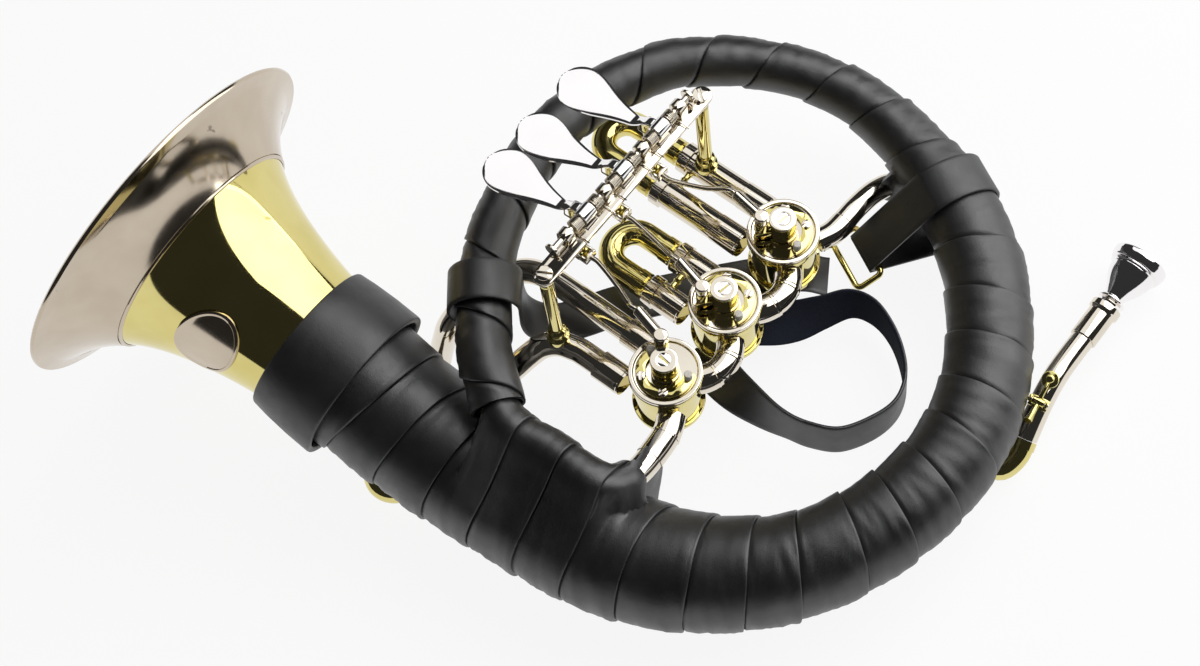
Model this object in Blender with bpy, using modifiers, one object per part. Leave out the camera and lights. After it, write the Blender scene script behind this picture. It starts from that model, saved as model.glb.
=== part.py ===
"""A small B flat hunting horn with three rotary valves and a leather-wrapped coil.

Sizes below are in millimetres and are turned into metres where meshes are made.
The horn is modelled in the plane of its coil, with the valve axes along +Z, and one
empty then lays it down as it rests on a table: on the third slide's bend, on the coil
under its strap, and on the return bow.
"""

import math

import bmesh
import bpy
from mathutils import Matrix, Vector

MM = 0.001
GAP = 0.3

# How the horn lies: turns about X and Y, then the lift that puts its lowest point at zero.
REST_ROLL = -0.0214
REST_PITCH = 0.174403
REST_SHIFT = (63.149, -1.064, 54.264)

# Bell: centre of the rim, heading of the axis in the coil plane, rise out of that plane.
BELL_RIM = Vector((-250.0, 56.5, 5.0))
BELL_HEADING = math.radians(141.0)
BELL_RISE = math.radians(14.0)
BELL_RADIUS = 84.0
BELL_FLARE_LENGTH = 13.5
BELL_FLARE_POWER = 0.47
BELL_WALL = 1.0
BELL_JOINT = 118.0
GARLAND_SEAM = 23.0
COLLAR_FRONT, COLLAR_REAR = 83.0, 116.0
WRAP_BELL_END = 104.0
PLATE_FROM_RIM, PLATE_LENGTH, PLATE_HEIGHT = 56.0, 27.0, 38.0
PLATE_TURN = math.radians(-62.0)

# Coil: centre line and radius over the leather, from the thin end round to the bell.
COIL = (
    (-99.0, -43.0, 12.5, 11.6), (-104.0, -24.0, 15.0, 12.0), (-106.0, -3.0, 15.5, 12.1),
    (-104.0, 28.0, 15.5, 11.9), (-94.0, 58.0, 15.5, 11.8), (-78.0, 86.0, 15.0, 11.6),
    (-55.0, 107.0, 14.0, 11.4), (-27.0, 120.0, 12.5, 11.2), (3.0, 122.0, 10.5, 11.2),
    (32.0, 116.0, 8.0, 11.4), (58.0, 102.0, 5.5, 12.2), (79.0, 80.0, 2.5, 14.2),
    (95.0, 54.0, 0.0, 16.8), (105.0, 27.0, -2.0, 17.8), (107.5, -3.0, -4.0, 18.4),
    (103.0, -33.0, -6.0, 19.0), (91.0, -59.0, -8.0, 19.6), (72.0, -80.0, -10.0, 20.2),
    (49.0, -96.0, -12.5, 21.0), (24.0, -105.5, -15.5, 22.4), (-3.0, -107.5, -19.0, 24.2),
    (-30.5, -103.0, -23.0, 26.2), (-58.0, -91.5, -27.0, 27.8), (-84.0, -74.0, -30.0, 29.0),
    (-116.0, -51.0, -31.5, 30.2), (-144.5, -29.1, -28.9, 31.2),
)
LEATHER_THICK = 3.4
COIL_WALL = 0.9
WRAP_TURNS = 12
WRAP_SIDES = 12

# Valve row: its own frame has X along the row, Y towards the levers, Z up the rotor axes.
ROW_CENTRE = Vector((-3.9, 5.3, -5.0))
ROW_HEADING = math.radians(51.3)
VALVE_PITCH = 41.0
VALVES = (1, 0, -1)
CASING_RADIUS, CASING_BORE, CASING_HALF = 14.5, 13.0, 12.5
FLANGE_RADIUS, FLANGE_HEIGHT = 16.0, 3.2
ROTOR_RADIUS, ROTOR_HALF = 12.4, 10.7
SPINDLE_RADIUS, SPINDLE_TOP = 2.6, 25.0
STOP_HUB_RADIUS, STOP_HUB_BASE, STOP_HUB_TOP = 6.0, 13.4, 25.2
STOP_ARM_REACH = 9.0
PORT_RADIUS = 5.3
TUBE_RADIUS = 6.2
TUBE_WALL = 0.7
LEG_SPACING = 9.8
SLEEVE_RADIUS = 6.6
KNUCKLE_REACH = 13.3

# Lever works, in the valve row's frame.
RAIL_Y, RAIL_Z, RAIL_ENDS = 49.5, 63.0, (-53.1, 51.5)
RAIL_WIDTH, RAIL_THICK = 9.0, 2.0
AXLE_Y, AXLE_Z, AXLE_RADIUS = 52.0, 68.5, 1.5
AXLE_HOLE = AXLE_RADIUS + 0.35
AXLE_ENDS = (-44.5, 46.5)
LEVER_X = (26.9, 2.1, -22.4)
BLOCK_X = (-35.1, -10.1, 14.6, 39.3)
BLOCK_LENGTH = 4.4
HUB_RADIUS, HUB_LENGTH = 3.5, 6.8
LEVER_DROP = 41.8
TOUCH_REACH, TOUCH_RADIUS, TOUCH_FALL = 37.5, 10.4, 8.0
LINK_Z = 28.3
SPRING_WIRE, SPRING_RADIUS, SPRING_PITCH, SPRING_TURNS = 0.42, 2.85, 2.2, 2.0

# Mouthpiece and mouthpipe.
MOUTH_RIM = Vector((174.5, 26.0, -10.0))
MOUTH_HEADING = Vector((-0.624, -0.777, -0.088)).normalized()
RECEIVER_START, RECEIVER_END = 26.0, 44.0
PIPE_RADIUS = 5.2

LEATHER, BRASS, NICKEL, SILVER, CORK = "leather", "brass", "nickel silver", "silver", "cork"
LOOKS = {
    LEATHER: ((0.02, 0.02, 0.022), 0.5, 0.0),
    BRASS: ((0.72, 0.62, 0.28), 0.16, 1.0),
    NICKEL: ((0.68, 0.62, 0.54), 0.16, 1.0),
    SILVER: ((0.86, 0.85, 0.84), 0.1, 1.0),
    CORK: ((0.75, 0.72, 0.68), 0.8, 0.0),
}


def clear_scene():
    for item in list(bpy.data.objects):
        bpy.data.objects.remove(item, do_unlink=True)


def new_collection(name):
    made = bpy.data.collections.new(name)
    bpy.context.scene.collection.children.link(made)
    return made


clear_scene()
PARTS = new_collection("hunting_horn")
CUTTERS = new_collection("cutters")


def empty(name, parent, matrix):
    made = bpy.data.objects.new(name, None)
    PARTS.objects.link(made)
    made.parent = parent
    made.matrix_local = matrix
    return made


def frame_at(place, heading=0.0):
    """A frame at a place in millimetres, turned about Z."""
    return Matrix.Translation(Vector(place) * MM) @ Matrix.Rotation(heading, 4, "Z")


def frame_along(place, direction, side=Vector((0, 0, 1))):
    """A frame at a place in millimetres, with Z along a direction and X as near side as it can be."""
    z = Vector(direction).normalized()
    x = (side - z * side.dot(z)).normalized()
    y = z.cross(x)
    turn = Matrix((x, y, z)).transposed().to_4x4()
    return Matrix.Translation(Vector(place) * MM) @ turn


REST = (
    Matrix.Translation(Vector(REST_SHIFT) * MM)
    @ Matrix.Rotation(REST_PITCH, 4, "Y")
    @ Matrix.Rotation(REST_ROLL, 4, "X")
)
HORN = empty("horn_frame", None, REST)
ROW = empty("valve_row_frame", HORN, frame_at(ROW_CENTRE, ROW_HEADING))


def material(kind, name):
    """Each node has its own material, made from one of the finishes above."""
    colour, rough, metal = LOOKS[kind]
    made = bpy.data.materials.new(name + "_finish")
    made.use_nodes = True
    shader = made.node_tree.nodes["Principled BSDF"]
    shader.inputs["Base Color"].default_value = (*colour, 1.0)
    shader.inputs["Roughness"].default_value = rough
    shader.inputs["Metallic"].default_value = metal
    return made


def finish(made, kind, parent, matrix=None):
    made.parent = parent
    made.matrix_local = matrix or Matrix.Identity(4)
    if kind is None:
        CUTTERS.objects.link(made)
        made.hide_render = True
        made.display_type = "WIRE"
    else:
        PARTS.objects.link(made)
        made.data.materials.append(material(kind, made.name))
    return made


def smooth(mesh):
    mesh.shade_smooth()
    mesh.set_sharp_from_angle(angle=math.radians(35))


def from_bmesh(name, built, kind, parent, matrix=None):
    mesh = bpy.data.meshes.new(name)
    built.to_mesh(mesh)
    built.free()
    smooth(mesh)
    return finish(bpy.data.objects.new(name, mesh), kind, parent, matrix)


def turned(name, profile, steps, kind, parent, matrix=None, closed=True):
    """A profile of (radius, height) pairs, down its outer side, turned about Z."""
    mesh = bpy.data.meshes.new(name)
    edges = [(i, i + 1) for i in range(len(profile) - 1)]
    if closed:
        edges.append((len(profile) - 1, 0))
    mesh.from_pydata([(r * MM, 0, z * MM) for r, z in profile], edges, [])
    made = finish(bpy.data.objects.new(name, mesh), kind, parent, matrix)
    screw = made.modifiers.new("turn", "SCREW")
    screw.steps = screw.render_steps = steps
    screw.use_merge_vertices = True
    screw.merge_threshold = 0.00001
    screw.use_smooth_shade = True
    return made


def cylinder(name, radius, low, high, kind, parent, matrix=None, steps=20):
    profile = [(0, high), (radius, high), (radius, low), (0, low)]
    return turned(name, profile, steps, kind, parent, matrix, closed=False)


def box(name, size, place, kind, parent, matrix=None):
    built = bmesh.new()
    bmesh.ops.create_cube(built, size=1.0)
    bmesh.ops.scale(built, vec=Vector(size) * MM, verts=built.verts)
    bmesh.ops.translate(built, vec=Vector(place) * MM, verts=built.verts)
    return from_bmesh(name, built, kind, parent, matrix)


def tube(name, points, radius, kind, parent, resolution=3, wall=0.0, matrix=None):
    """A bevelled curve through points; radius is one value or one for each point."""
    radii = radius if isinstance(radius, (list, tuple)) else [radius] * len(points)
    curve = bpy.data.curves.new(name, "CURVE")
    curve.dimensions = "3D"
    curve.bevel_depth = MM
    curve.bevel_resolution = resolution
    curve.use_fill_caps = wall == 0.0
    spline = curve.splines.new("POLY")
    spline.points.add(len(points) - 1)
    for slot, point, size in zip(spline.points, points, radii):
        slot.co = (*(Vector(point) * MM), 1.0)
        slot.radius = size
    made = finish(bpy.data.objects.new(name, curve), kind, parent, matrix)
    if wall:
        shell = made.modifiers.new("wall", "SOLIDIFY")
        shell.thickness = wall * MM
        shell.offset = -1.0
    return made


def as_mesh(made):
    """Turns a curve, or an object with modifiers, into a plain welded mesh object."""
    bpy.context.view_layer.update()
    shaped = made.evaluated_get(bpy.context.evaluated_depsgraph_get())
    mesh = bpy.data.meshes.new_from_object(shaped)
    built = bmesh.new()
    built.from_mesh(mesh)
    bmesh.ops.remove_doubles(built, verts=built.verts, dist=0.00001)
    built.to_mesh(mesh)
    built.free()
    name, parent, matrix = made.name, made.parent, made.matrix_local.copy()
    finishes = list(made.data.materials)
    home, hidden = made.users_collection[0], made.hide_render
    bpy.data.objects.remove(made, do_unlink=True)
    mesh.name = name
    fresh = bpy.data.objects.new(name, mesh)
    home.objects.link(fresh)
    fresh.parent = parent
    fresh.matrix_local = matrix
    fresh.hide_render = hidden
    if hidden:
        fresh.display_type = "WIRE"
    mesh.materials.clear()
    for item in finishes:
        mesh.materials.append(item)
    return fresh


def boolean(made, tools, operation):
    for tool in tools:
        step = made.modifiers.new(operation.lower(), "BOOLEAN")
        step.operation = operation
        step.object = tool
        step.solver = "EXACT"
    return made


def cut(made, *tools):
    return boolean(made, tools, "DIFFERENCE")


def join(made, *tools):
    return boolean(made, tools, "UNION")


def spline_through(points, count):
    """A smooth curve through points of any width, sampled at an even spacing."""
    rows = [list(p) for p in points]
    first = [2 * a - b for a, b in zip(rows[0], rows[1])]
    last = [2 * a - b for a, b in zip(rows[-1], rows[-2])]
    rows = [first, *rows, last]
    dense = []
    steps = 24
    for i in range(1, len(rows) - 2):
        for k in range(steps):
            t = k / steps
            dense.append([
                0.5 * (2 * p1 + (p2 - p0) * t + (2 * p0 - 5 * p1 + 4 * p2 - p3) * t * t
                       + (3 * p1 - p0 - 3 * p2 + p3) * t ** 3)
                for p0, p1, p2, p3 in zip(rows[i - 1], rows[i], rows[i + 1], rows[i + 2])
            ])
    dense.append(rows[-2])
    return even(dense, count)


def even(dense, count):
    """The same line with a given number of points at an even spacing."""
    runs = [0.0]
    for a, b in zip(dense, dense[1:]):
        runs.append(runs[-1] + math.dist(a[:3], b[:3]))
    made, k = [], 0
    for i in range(count):
        want = runs[-1] * i / (count - 1)
        while k < len(runs) - 2 and runs[k + 1] < want:
            k += 1
        share = (want - runs[k]) / max(runs[k + 1] - runs[k], 1e-9)
        made.append([a + (b - a) * share for a, b in zip(dense[k], dense[k + 1])])
    return made


def arc(centre, radius, start, end, steps, height=0.0):
    """Points on a level arc, angles in degrees."""
    made = []
    for i in range(steps + 1):
        turn = math.radians(start + (end - start) * i / steps)
        x = centre[0] + radius * math.cos(turn)
        y = centre[1] + radius * math.sin(turn)
        made.append((x, y, height))
    return made


# The bell.
BELL_AXIS = Vector((
    math.cos(BELL_HEADING) * math.cos(BELL_RISE),
    math.sin(BELL_HEADING) * math.cos(BELL_RISE),
    math.sin(BELL_RISE),
))
BELL_FRAME = frame_along(BELL_RIM, BELL_AXIS)


def bell_radius(back):
    """Outer radius of the brass at a distance behind the rim."""
    share = BELL_FLARE_LENGTH / (back + BELL_FLARE_LENGTH)
    return BELL_RADIUS * share ** BELL_FLARE_POWER


def bell_stations(start, end, count):
    """Distances from the rim, closer together where the flare is steep."""
    a, b = math.sqrt(start + 1), math.sqrt(end + 1)
    return [(a + (b - a) * i / (count - 1)) ** 2 - 1 for i in range(count)]


BELL_BAND = bell_stations(4.0, GARLAND_SEAM, 4)
BELL_STATIONS = BELL_BAND + bell_stations(GARLAND_SEAM + 9, BELL_JOINT, 4)


def bell_skin(back):
    """Radius of the straight-sided profile that the bell is turned from."""
    for a, b in zip(BELL_STATIONS, BELL_STATIONS[1:]):
        if a <= back <= b:
            share = (back - a) / (b - a)
            return bell_radius(a) * (1 - share) + bell_radius(b) * share
    return bell_radius(back)


def make_bell():
    band = BELL_BAND
    outer = [(bell_radius(s) - GAP, -s) for s in BELL_STATIONS]
    inner = [(r - BELL_WALL, z) for r, z in outer]
    turned("bell", outer + inner[::-1], 22, BRASS, HORN, BELL_FRAME)

    skin = [(bell_radius(s) + 0.9, -s) for s in band]
    rim = [(BELL_RADIUS - 3.2, 1.2), (BELL_RADIUS - 0.4, 1.2), (BELL_RADIUS + 0.6, 0.0),
           (BELL_RADIUS + 0.2, -2.0)]
    under = [(bell_radius(s), -s) for s in band][::-1]
    garland = rim + skin + under + [(BELL_RADIUS - 8.5, -2.6), (BELL_RADIUS - 8.0, -1.6)]
    turned("bell_garland", garland, 22, NICKEL, HORN, BELL_FRAME)

    half = PLATE_LENGTH / 2 + 4
    start, end = PLATE_FROM_RIM - half, PLATE_FROM_RIM + half
    strip = [start] + [s for s in BELL_STATIONS if start < s < end] + [end]
    shell = [(bell_skin(s) + 0.9, -s) for s in strip]
    shell += [(bell_skin(s) + 0.05, -s) for s in strip][::-1]
    turned("bell_plate", shell, 22, NICKEL, HORN, BELL_FRAME)
    facing = Vector((math.cos(PLATE_TURN), math.sin(PLATE_TURN), 0))
    place = Matrix.Translation(Vector((0, 0, -PLATE_FROM_RIM)) * MM)
    place = BELL_FRAME @ place @ frame_along((0, 0, 0), facing, Vector((0, 0, 1)))
    oval = cylinder("plate_oval", 1.0, 20, 70, None, HORN, place, 16)
    oval = as_mesh(oval)
    oval.data.transform(Matrix.Diagonal((PLATE_LENGTH / 2, PLATE_HEIGHT / 2, 1, 1)))
    boolean(bpy.data.objects["bell_plate"], [oval], "INTERSECT")

    collar = [(36.0, -COLLAR_FRONT), (37.2, -COLLAR_FRONT - 12), (38.0, -COLLAR_REAR + 1),
              (37.7, -COLLAR_REAR), (35.4, -COLLAR_REAR), (35.2, -COLLAR_REAR + 14),
              (33.9, -COLLAR_FRONT)]
    turned("bell_collar", collar, 20, LEATHER, HORN, BELL_FRAME)


# The coil.
BELL_STUB = BELL_RIM - BELL_AXIS * (BELL_JOINT + 2.5)
STATIONS = spline_through(COIL + ((*BELL_STUB, 32.0),), 24)


class Path:
    """A sampled line that can be read at any distance along it."""

    def __init__(self, rows):
        self.rows = rows
        self.runs = [0.0]
        for a, b in zip(rows, rows[1:]):
            self.runs.append(self.runs[-1] + math.dist(a[:3], b[:3]))
        self.length = self.runs[-1]

    def at(self, run):
        run = min(max(run, 0.0), self.length)
        k = 0
        while k < len(self.runs) - 2 and self.runs[k + 1] < run:
            k += 1
        share = (run - self.runs[k]) / (self.runs[k + 1] - self.runs[k])
        row = [a + (b - a) * share for a, b in zip(self.rows[k], self.rows[k + 1])]
        return Vector(row[:3]), row[3]

    def frame(self, run):
        """Centre, radius, tangent, outward and forward directions."""
        centre, radius = self.at(run)
        tangent = (self.at(run + 4)[0] - self.at(run - 4)[0]).normalized()
        up = Vector((0, 0, 1))
        front = (up - tangent * up.dot(tangent)).normalized()
        outer = front.cross(tangent) * -1.0
        return centre, radius, tangent, outer, front


WRAP_PATH = Path(STATIONS + [[*(BELL_RIM - BELL_AXIS * WRAP_BELL_END), 33.8]])

# Tubes that run inside the leather beside the coil, as centre line points.
BRANCH_ROUTE = (
    (-99.3, -39.0, 13.2), (-97.0, -47.0, 12.0), (-90.2, -54.7, 10.5), (-79.4, -60.5, 9.2),
    (-68.0, -69.5, 8.4), (-57.5, -76.5, 5.8), (-49.3, -74.5, 1.0), (-42.5, -67.5, -2.8),
    (-36.5, -59.5, -4.6), (-30.0, -49.5, -5.0), (-27.9, -41.2, -5.0),
)
RETURN_ROUTE = (
    (36.2, 38.9, -5.0), (44.0, 43.5, -5.0), (54.0, 55.0, -5.2), (63.0, 64.0, -7.5),
    (72.0, 69.0, -12.5), (84.0, 64.0, -18.0), (95.0, 51.0, -21.5), (103.0, 27.0, -23.5),
    (106.0, 0.0, -26.0), (104.5, -24.0, -28.0), (103.5, -38.0, -29.0),
)


def hull_reach(direction, radius, offset, size):
    """How far a sheet stretched over the coil and a tube beside it lies, in one direction."""
    best = radius
    for i in range(1, 11):
        share = i / 10
        middle = offset * share
        along = middle.dot(direction)
        across = middle.length_squared - along * along
        spread = (radius + (size - radius) * share) ** 2 - across
        if spread > 0:
            best = max(best, along + math.sqrt(spread))
    return best


def companion_offset(route, centre, tangent):
    """Where a tube beside the coil crosses the coil's cross-section here, if it does."""
    best = None
    for a, b in zip(route, route[1:]):
        da, db = (a - centre).dot(tangent), (b - centre).dot(tangent)
        if da * db <= 0 and abs(da - db) > 1e-6:
            offset = a + (b - a) * (da / (da - db)) - centre
            if offset.length < 48 and (best is None or offset.length < best.length):
                best = offset
    return best


BRANCH_LINE = [Vector(p) for p in spline_through(BRANCH_ROUTE, 12)]
RETURN_LINE = [Vector(p) for p in spline_through(RETURN_ROUTE, 15)]
BOW_LINE = spline_through((
    (120.6, -48.6, -25.4), (117, -55, -28.5), (110.5, -59.5, -30.6), (105, -56.5, -31.2),
    (103.2, -50, -30.6), (103.3, -40.0, -29.2),
), 9)
BRANCH_COVER = (618.0, 712.0)
RETURN_COVER = (300.0, 470.0)


def wrap_point(run, turn, extra):
    """A point on the leather: run along the coil, turn about it, height over the tube."""
    centre, radius, tangent, outer, front = WRAP_PATH.frame(run)
    direction = outer * math.cos(turn) + front * math.sin(turn)
    reach = radius - LEATHER_THICK + extra
    for line, size, (start, end) in (
        (BRANCH_LINE, 6.6, BRANCH_COVER), (RETURN_LINE, 5.6, RETURN_COVER),
    ):
        if start < run < end:
            offset = companion_offset(line, centre, tangent)
            if offset is not None:
                flat = offset - tangent * offset.dot(tangent)
                base = radius - LEATHER_THICK + extra
                reach = max(reach, hull_reach(direction, base, flat, size + extra))
    return centre + direction * reach


def make_wrap():
    """One sleeve whose outer side is a single spiral band, stepped where it overlaps itself."""
    built = bmesh.new()
    sides, turns = WRAP_SIDES, WRAP_TURNS
    length = WRAP_PATH.length
    pitch = length / (turns + 1)
    low, high = LEATHER_THICK - 1.0, LEATHER_THICK + 0.5

    def run_of(i):
        return min(max((i / sides - 1) * pitch * (turns + 1) / turns, 0.0), length)

    total = (turns + 1) * sides + sides
    edge_high, edge_low, middle = [], [], []
    for i in range(total + 1):
        turn = -2 * math.pi * i / sides
        run = run_of(i)
        edge_low.append(built.verts.new(wrap_point(run, turn, low) * MM))
        inside = 0 < run < length
        step = 0.5 if inside else 0.0
        top = high if inside else low
        edge_high.append(
            built.verts.new(wrap_point(run + step, turn, top) * MM) if inside else edge_low[-1]
        )
    for i in range(total - sides + 1):
        turn = -2 * math.pi * i / sides
        run = (run_of(i) + run_of(i + sides)) / 2
        middle.append(built.verts.new(wrap_point(run, turn, LEATHER_THICK + 0.2) * MM))

    def face(*corners):
        kept = [c for k, c in enumerate(corners) if c not in corners[:k]]
        if len(kept) > 2:
            built.faces.new(kept)

    for i in range(total - sides):
        face(edge_high[i], edge_high[i + 1], middle[i + 1], middle[i])
        face(middle[i], middle[i + 1], edge_low[i + sides + 1], edge_low[i + sides])
    for i in range(total):
        face(edge_low[i], edge_low[i + 1], edge_high[i + 1], edge_high[i])
    first = edge_low[:sides]
    last = edge_low[total - sides:total]
    rows = []
    clear = 1 / math.cos(math.pi / sides)
    spots = [0.0] + [r for r in WRAP_PATH.runs[1:-1]] + [length]
    for run in spots:
        centre, radius, tangent, outer, front = WRAP_PATH.frame(run)
        bore = (radius - LEATHER_THICK + GAP) * clear
        rows.append([
            built.verts.new((centre + (outer * math.cos(t) + front * math.sin(t)) * bore) * MM)
            for t in (-2 * math.pi * j / sides for j in range(sides))
        ])
    for a, b in zip(rows, rows[1:]):
        for j in range(sides):
            k = (j + 1) % sides
            built.faces.new((a[j], b[j], b[k], a[k]))
    for ring, row in ((first, rows[0]), (last, rows[-1])):
        for j in range(sides):
            k = (j + 1) % sides
            built.faces.new((ring[j], ring[k], row[k], row[j]))
    bmesh.ops.remove_doubles(built, verts=built.verts, dist=0.000001)
    bmesh.ops.recalc_face_normals(built, faces=built.faces)
    return from_bmesh("leather_wrap", built, LEATHER, HORN)


def make_coil():
    wrap = make_wrap()
    points = [row[:3] for row in STATIONS]
    radii = [row[3] - LEATHER_THICK for row in STATIONS]
    tube("coil_tube", points, radii, BRASS, HORN, 2, COIL_WALL)
    before = BRANCH_LINE[0] * 2.5 - BRANCH_LINE[1] * 1.5
    route = [before] + BRANCH_LINE
    branch = as_mesh(tube("branch_channel", route, TUBE_RADIUS + 1.4, None, HORN, 2))
    route = RETURN_LINE[:-1] + [Vector(p) for p in BOW_LINE[::-1]]
    back = as_mesh(tube("return_channel", route, PIPE_RADIUS + 0.7, None, HORN, 2))
    cut(wrap, branch, back)


# Plates, bars and strips.
def plate(name, outline, low, high, kind, parent, matrix=None):
    """A flat outline in millimetres, drawn counter-clockwise, given thickness."""
    built = bmesh.new()
    bottom = [built.verts.new(Vector((x, y, low)) * MM) for x, y in outline]
    top = [built.verts.new(Vector((x, y, high)) * MM) for x, y in outline]
    built.faces.new(top)
    built.faces.new(bottom[::-1])
    count = len(outline)
    for i in range(count):
        k = (i + 1) % count
        built.faces.new((bottom[i], bottom[k], top[k], top[i]))
    return from_bmesh(name, built, kind, parent, matrix)


def ring_sector(inner, outer, start, end, steps):
    """The outline of a flat C shape, angles in degrees."""
    far = [(x, y) for x, y, _ in arc((0, 0), outer, start, end, steps)]
    near = [(x, y) for x, y, _ in arc((0, 0), inner, end, start, steps)]
    return far + near


def ribbon(name, rows, width, thick, kind, parent, closed=False):
    """A strap: rows of (middle, across) vectors, given width and thickness."""
    built = bmesh.new()
    count = len(rows)
    rings = []
    for i, (middle, across) in enumerate(rows):
        before = rows[i - 1][0] if i or closed else middle
        after = rows[(i + 1) % count][0] if i < count - 1 or closed else middle
        along = (after - before).normalized()
        side = (across - along * across.dot(along)).normalized()
        face = side.cross(along)
        corners = ((-1, -1), (1, -1), (1, 1), (-1, 1))
        rings.append([
            built.verts.new((middle + side * (a * width / 2) + face * (b * thick / 2)) * MM)
            for a, b in corners
        ])
    pairs = list(zip(rings, rings[1:]))
    if closed:
        pairs.append((rings[-1], rings[0]))
    for one, two in pairs:
        for j in range(4):
            k = (j + 1) % 4
            built.faces.new((one[j], one[k], two[k], two[j]))
    if not closed:
        built.faces.new(rings[0][::-1])
        built.faces.new(rings[-1])
    bmesh.ops.recalc_face_normals(built, faces=built.faces)
    return from_bmesh(name, built, kind, parent)


# Valves.
def valve_x(number):
    return VALVES[number - 1] * VALVE_PITCH


def arm_angle(number):
    """Where the stop arm points at rest, in degrees in the row's frame."""
    return 45.0 if number == 3 else 135.0


def port_cutter(name, number, angle):
    """A round hole from the valve's middle out through the casing wall."""
    turn = math.radians(angle)
    place = frame_along((valve_x(number), 0, 0), (math.cos(turn), math.sin(turn), 0))
    return cylinder(name, PORT_RADIUS, 0.2, 18, None, ROW, place, 8)


def make_valve(number):
    at = frame_at((valve_x(number), 0, 0))
    half, wall, bore = CASING_HALF, CASING_RADIUS, CASING_BORE
    top = half - 0.9
    shell = [
        (FLANGE_RADIUS, top), (FLANGE_RADIUS, top - FLANGE_HEIGHT), (wall, top - FLANGE_HEIGHT),
        (wall, -half), (SPINDLE_RADIUS + GAP, -half), (SPINDLE_RADIUS + GAP, -half + 1.5),
        (bore, -half + 1.5), (bore, top),
    ]
    casing = turned(f"valve_{number}_casing", shell, 16, BRASS, ROW, at)
    tools = [port_cutter(f"valve_{number}_port_{k}", number, a) for k, a in enumerate((-45, -135))]
    for k, side in enumerate((-1, 1)):
        place = frame_along((valve_x(number) + side * LEG_SPACING, 0, 0), (0, 1, 0))
        tools.append(cylinder(f"valve_{number}_leg_{k}", 5.0, 2, 20, None, ROW, place, 8))
    cut(casing, *tools)

    hole = SPINDLE_RADIUS + GAP
    lid = [(FLANGE_RADIUS - 0.3, 13.8), (FLANGE_RADIUS - 0.3, top + GAP), (12.6, top + GAP),
           (12.6, 11.0), (hole, 11.0), (hole, 13.0), (13.4, 13.0), (13.4, 13.8)]
    turned(f"valve_{number}_bearing_plate", lid, 16, NICKEL, ROW, at)

    cap = [(0, -12.8), (15.8, -12.8), (15.8, -15.2), (15.0, -16.2), (0, -16.2)]
    turned(f"valve_{number}_bottom_cap", cap, 16, NICKEL, ROW, at, closed=False)

    make_rotor(number, at)
    make_stops(number, at)


def make_rotor(number, at):
    r, half, pin = ROTOR_RADIUS, ROTOR_HALF, SPINDLE_RADIUS
    shape = [(0, SPINDLE_TOP), (pin, SPINDLE_TOP), (pin, half), (r, half), (r, -half),
             (pin, -half), (pin, -half - 1.7), (0, -half - 1.7)]
    rotor = turned(f"valve_{number}_rotor", shape, 14, BRASS, ROW, at, closed=False)
    tools = []
    for k, heading in enumerate((-90, 90)):
        turn = math.radians(heading)
        centre = (r * math.sqrt(2) * math.cos(turn), r * math.sqrt(2) * math.sin(turn))
        way = arc(centre, r, heading + 90 + 35, heading + 270 - 35, 4)
        name = f"valve_{number}_passage_{k}"
        tools.append(as_mesh(tube(name, way, 4.6, None, ROW, 1, 0.0, at)))
    cut(rotor, *tools)


def make_stops(number, at):
    """The arm clamped on the spindle, and the plate with the corks it stops against."""
    hole = SPINDLE_RADIUS + GAP
    angle = math.radians(arm_angle(number))
    outward = Matrix.Rotation(angle, 4, "Z")
    hub = [(STOP_HUB_RADIUS, STOP_HUB_TOP), (STOP_HUB_RADIUS, STOP_HUB_BASE),
           (hole, STOP_HUB_BASE), (hole, STOP_HUB_TOP)]
    arm = turned(f"valve_{number}_stop_arm", hub, 12, SILVER, ROW, at)
    here = at @ outward
    ear = frame_at((STOP_ARM_REACH, 0, 0))
    lug = cylinder(f"valve_{number}_lug", 3.1, 19.4, STOP_HUB_TOP, None, ROW, here @ ear, 8)
    stop = box(f"valve_{number}_stop", (7.5, 5.0, 3.2), (8.0, 0, 16.6), None, ROW, here)
    web = box(f"valve_{number}_web", (5.0, 4.6, 4.4), (6.8, 0, 21.8), None, ROW, here)
    join(arm, lug, stop, web)

    mirror = Matrix.Identity(4) if number == 3 else Matrix.Rotation(math.pi, 4, "Z")
    place = at @ mirror
    low, high = 13.3, 14.6
    outline = ring_sector(8.0, 12.8, 62, 298, 10)
    bumper = plate(f"valve_{number}_bumper_plate", outline, low, high, NICKEL, ROW, place)
    tools = []
    for k, turn in enumerate((72.5, 287.5)):
        spot = place @ Matrix.Rotation(math.radians(turn), 4, "Z") @ frame_at((10.4, 0, 0))
        tools.append(cylinder(f"valve_{number}_cork_{k}", 1.9, 14, 18.4, None, ROW, spot, 8))
    for k, turn in enumerate((141, 213)):
        spot = place @ Matrix.Rotation(math.radians(turn), 4, "Z") @ frame_at((10.4, 0, 0))
        tools.append(cylinder(f"valve_{number}_screw_{k}", 2.1, 14, 15.8, None, ROW, spot, 8))
    join(bumper, *tools)


def wall_cutter(number):
    """What is cut off tubes that end on a casing."""
    at = frame_at((valve_x(number), 0, 0))
    name = f"valve_{number}_outside"
    return cylinder(name, CASING_RADIUS + GAP, -14, 14, None, ROW, at, 24)


def horn_point(point):
    """A point given in the valve row's frame, in the horn's frame."""
    x, y, z = point
    c, s = math.cos(ROW_HEADING), math.sin(ROW_HEADING)
    return Vector((x * c - y * s, x * s + y * c, z)) + ROW_CENTRE


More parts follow.
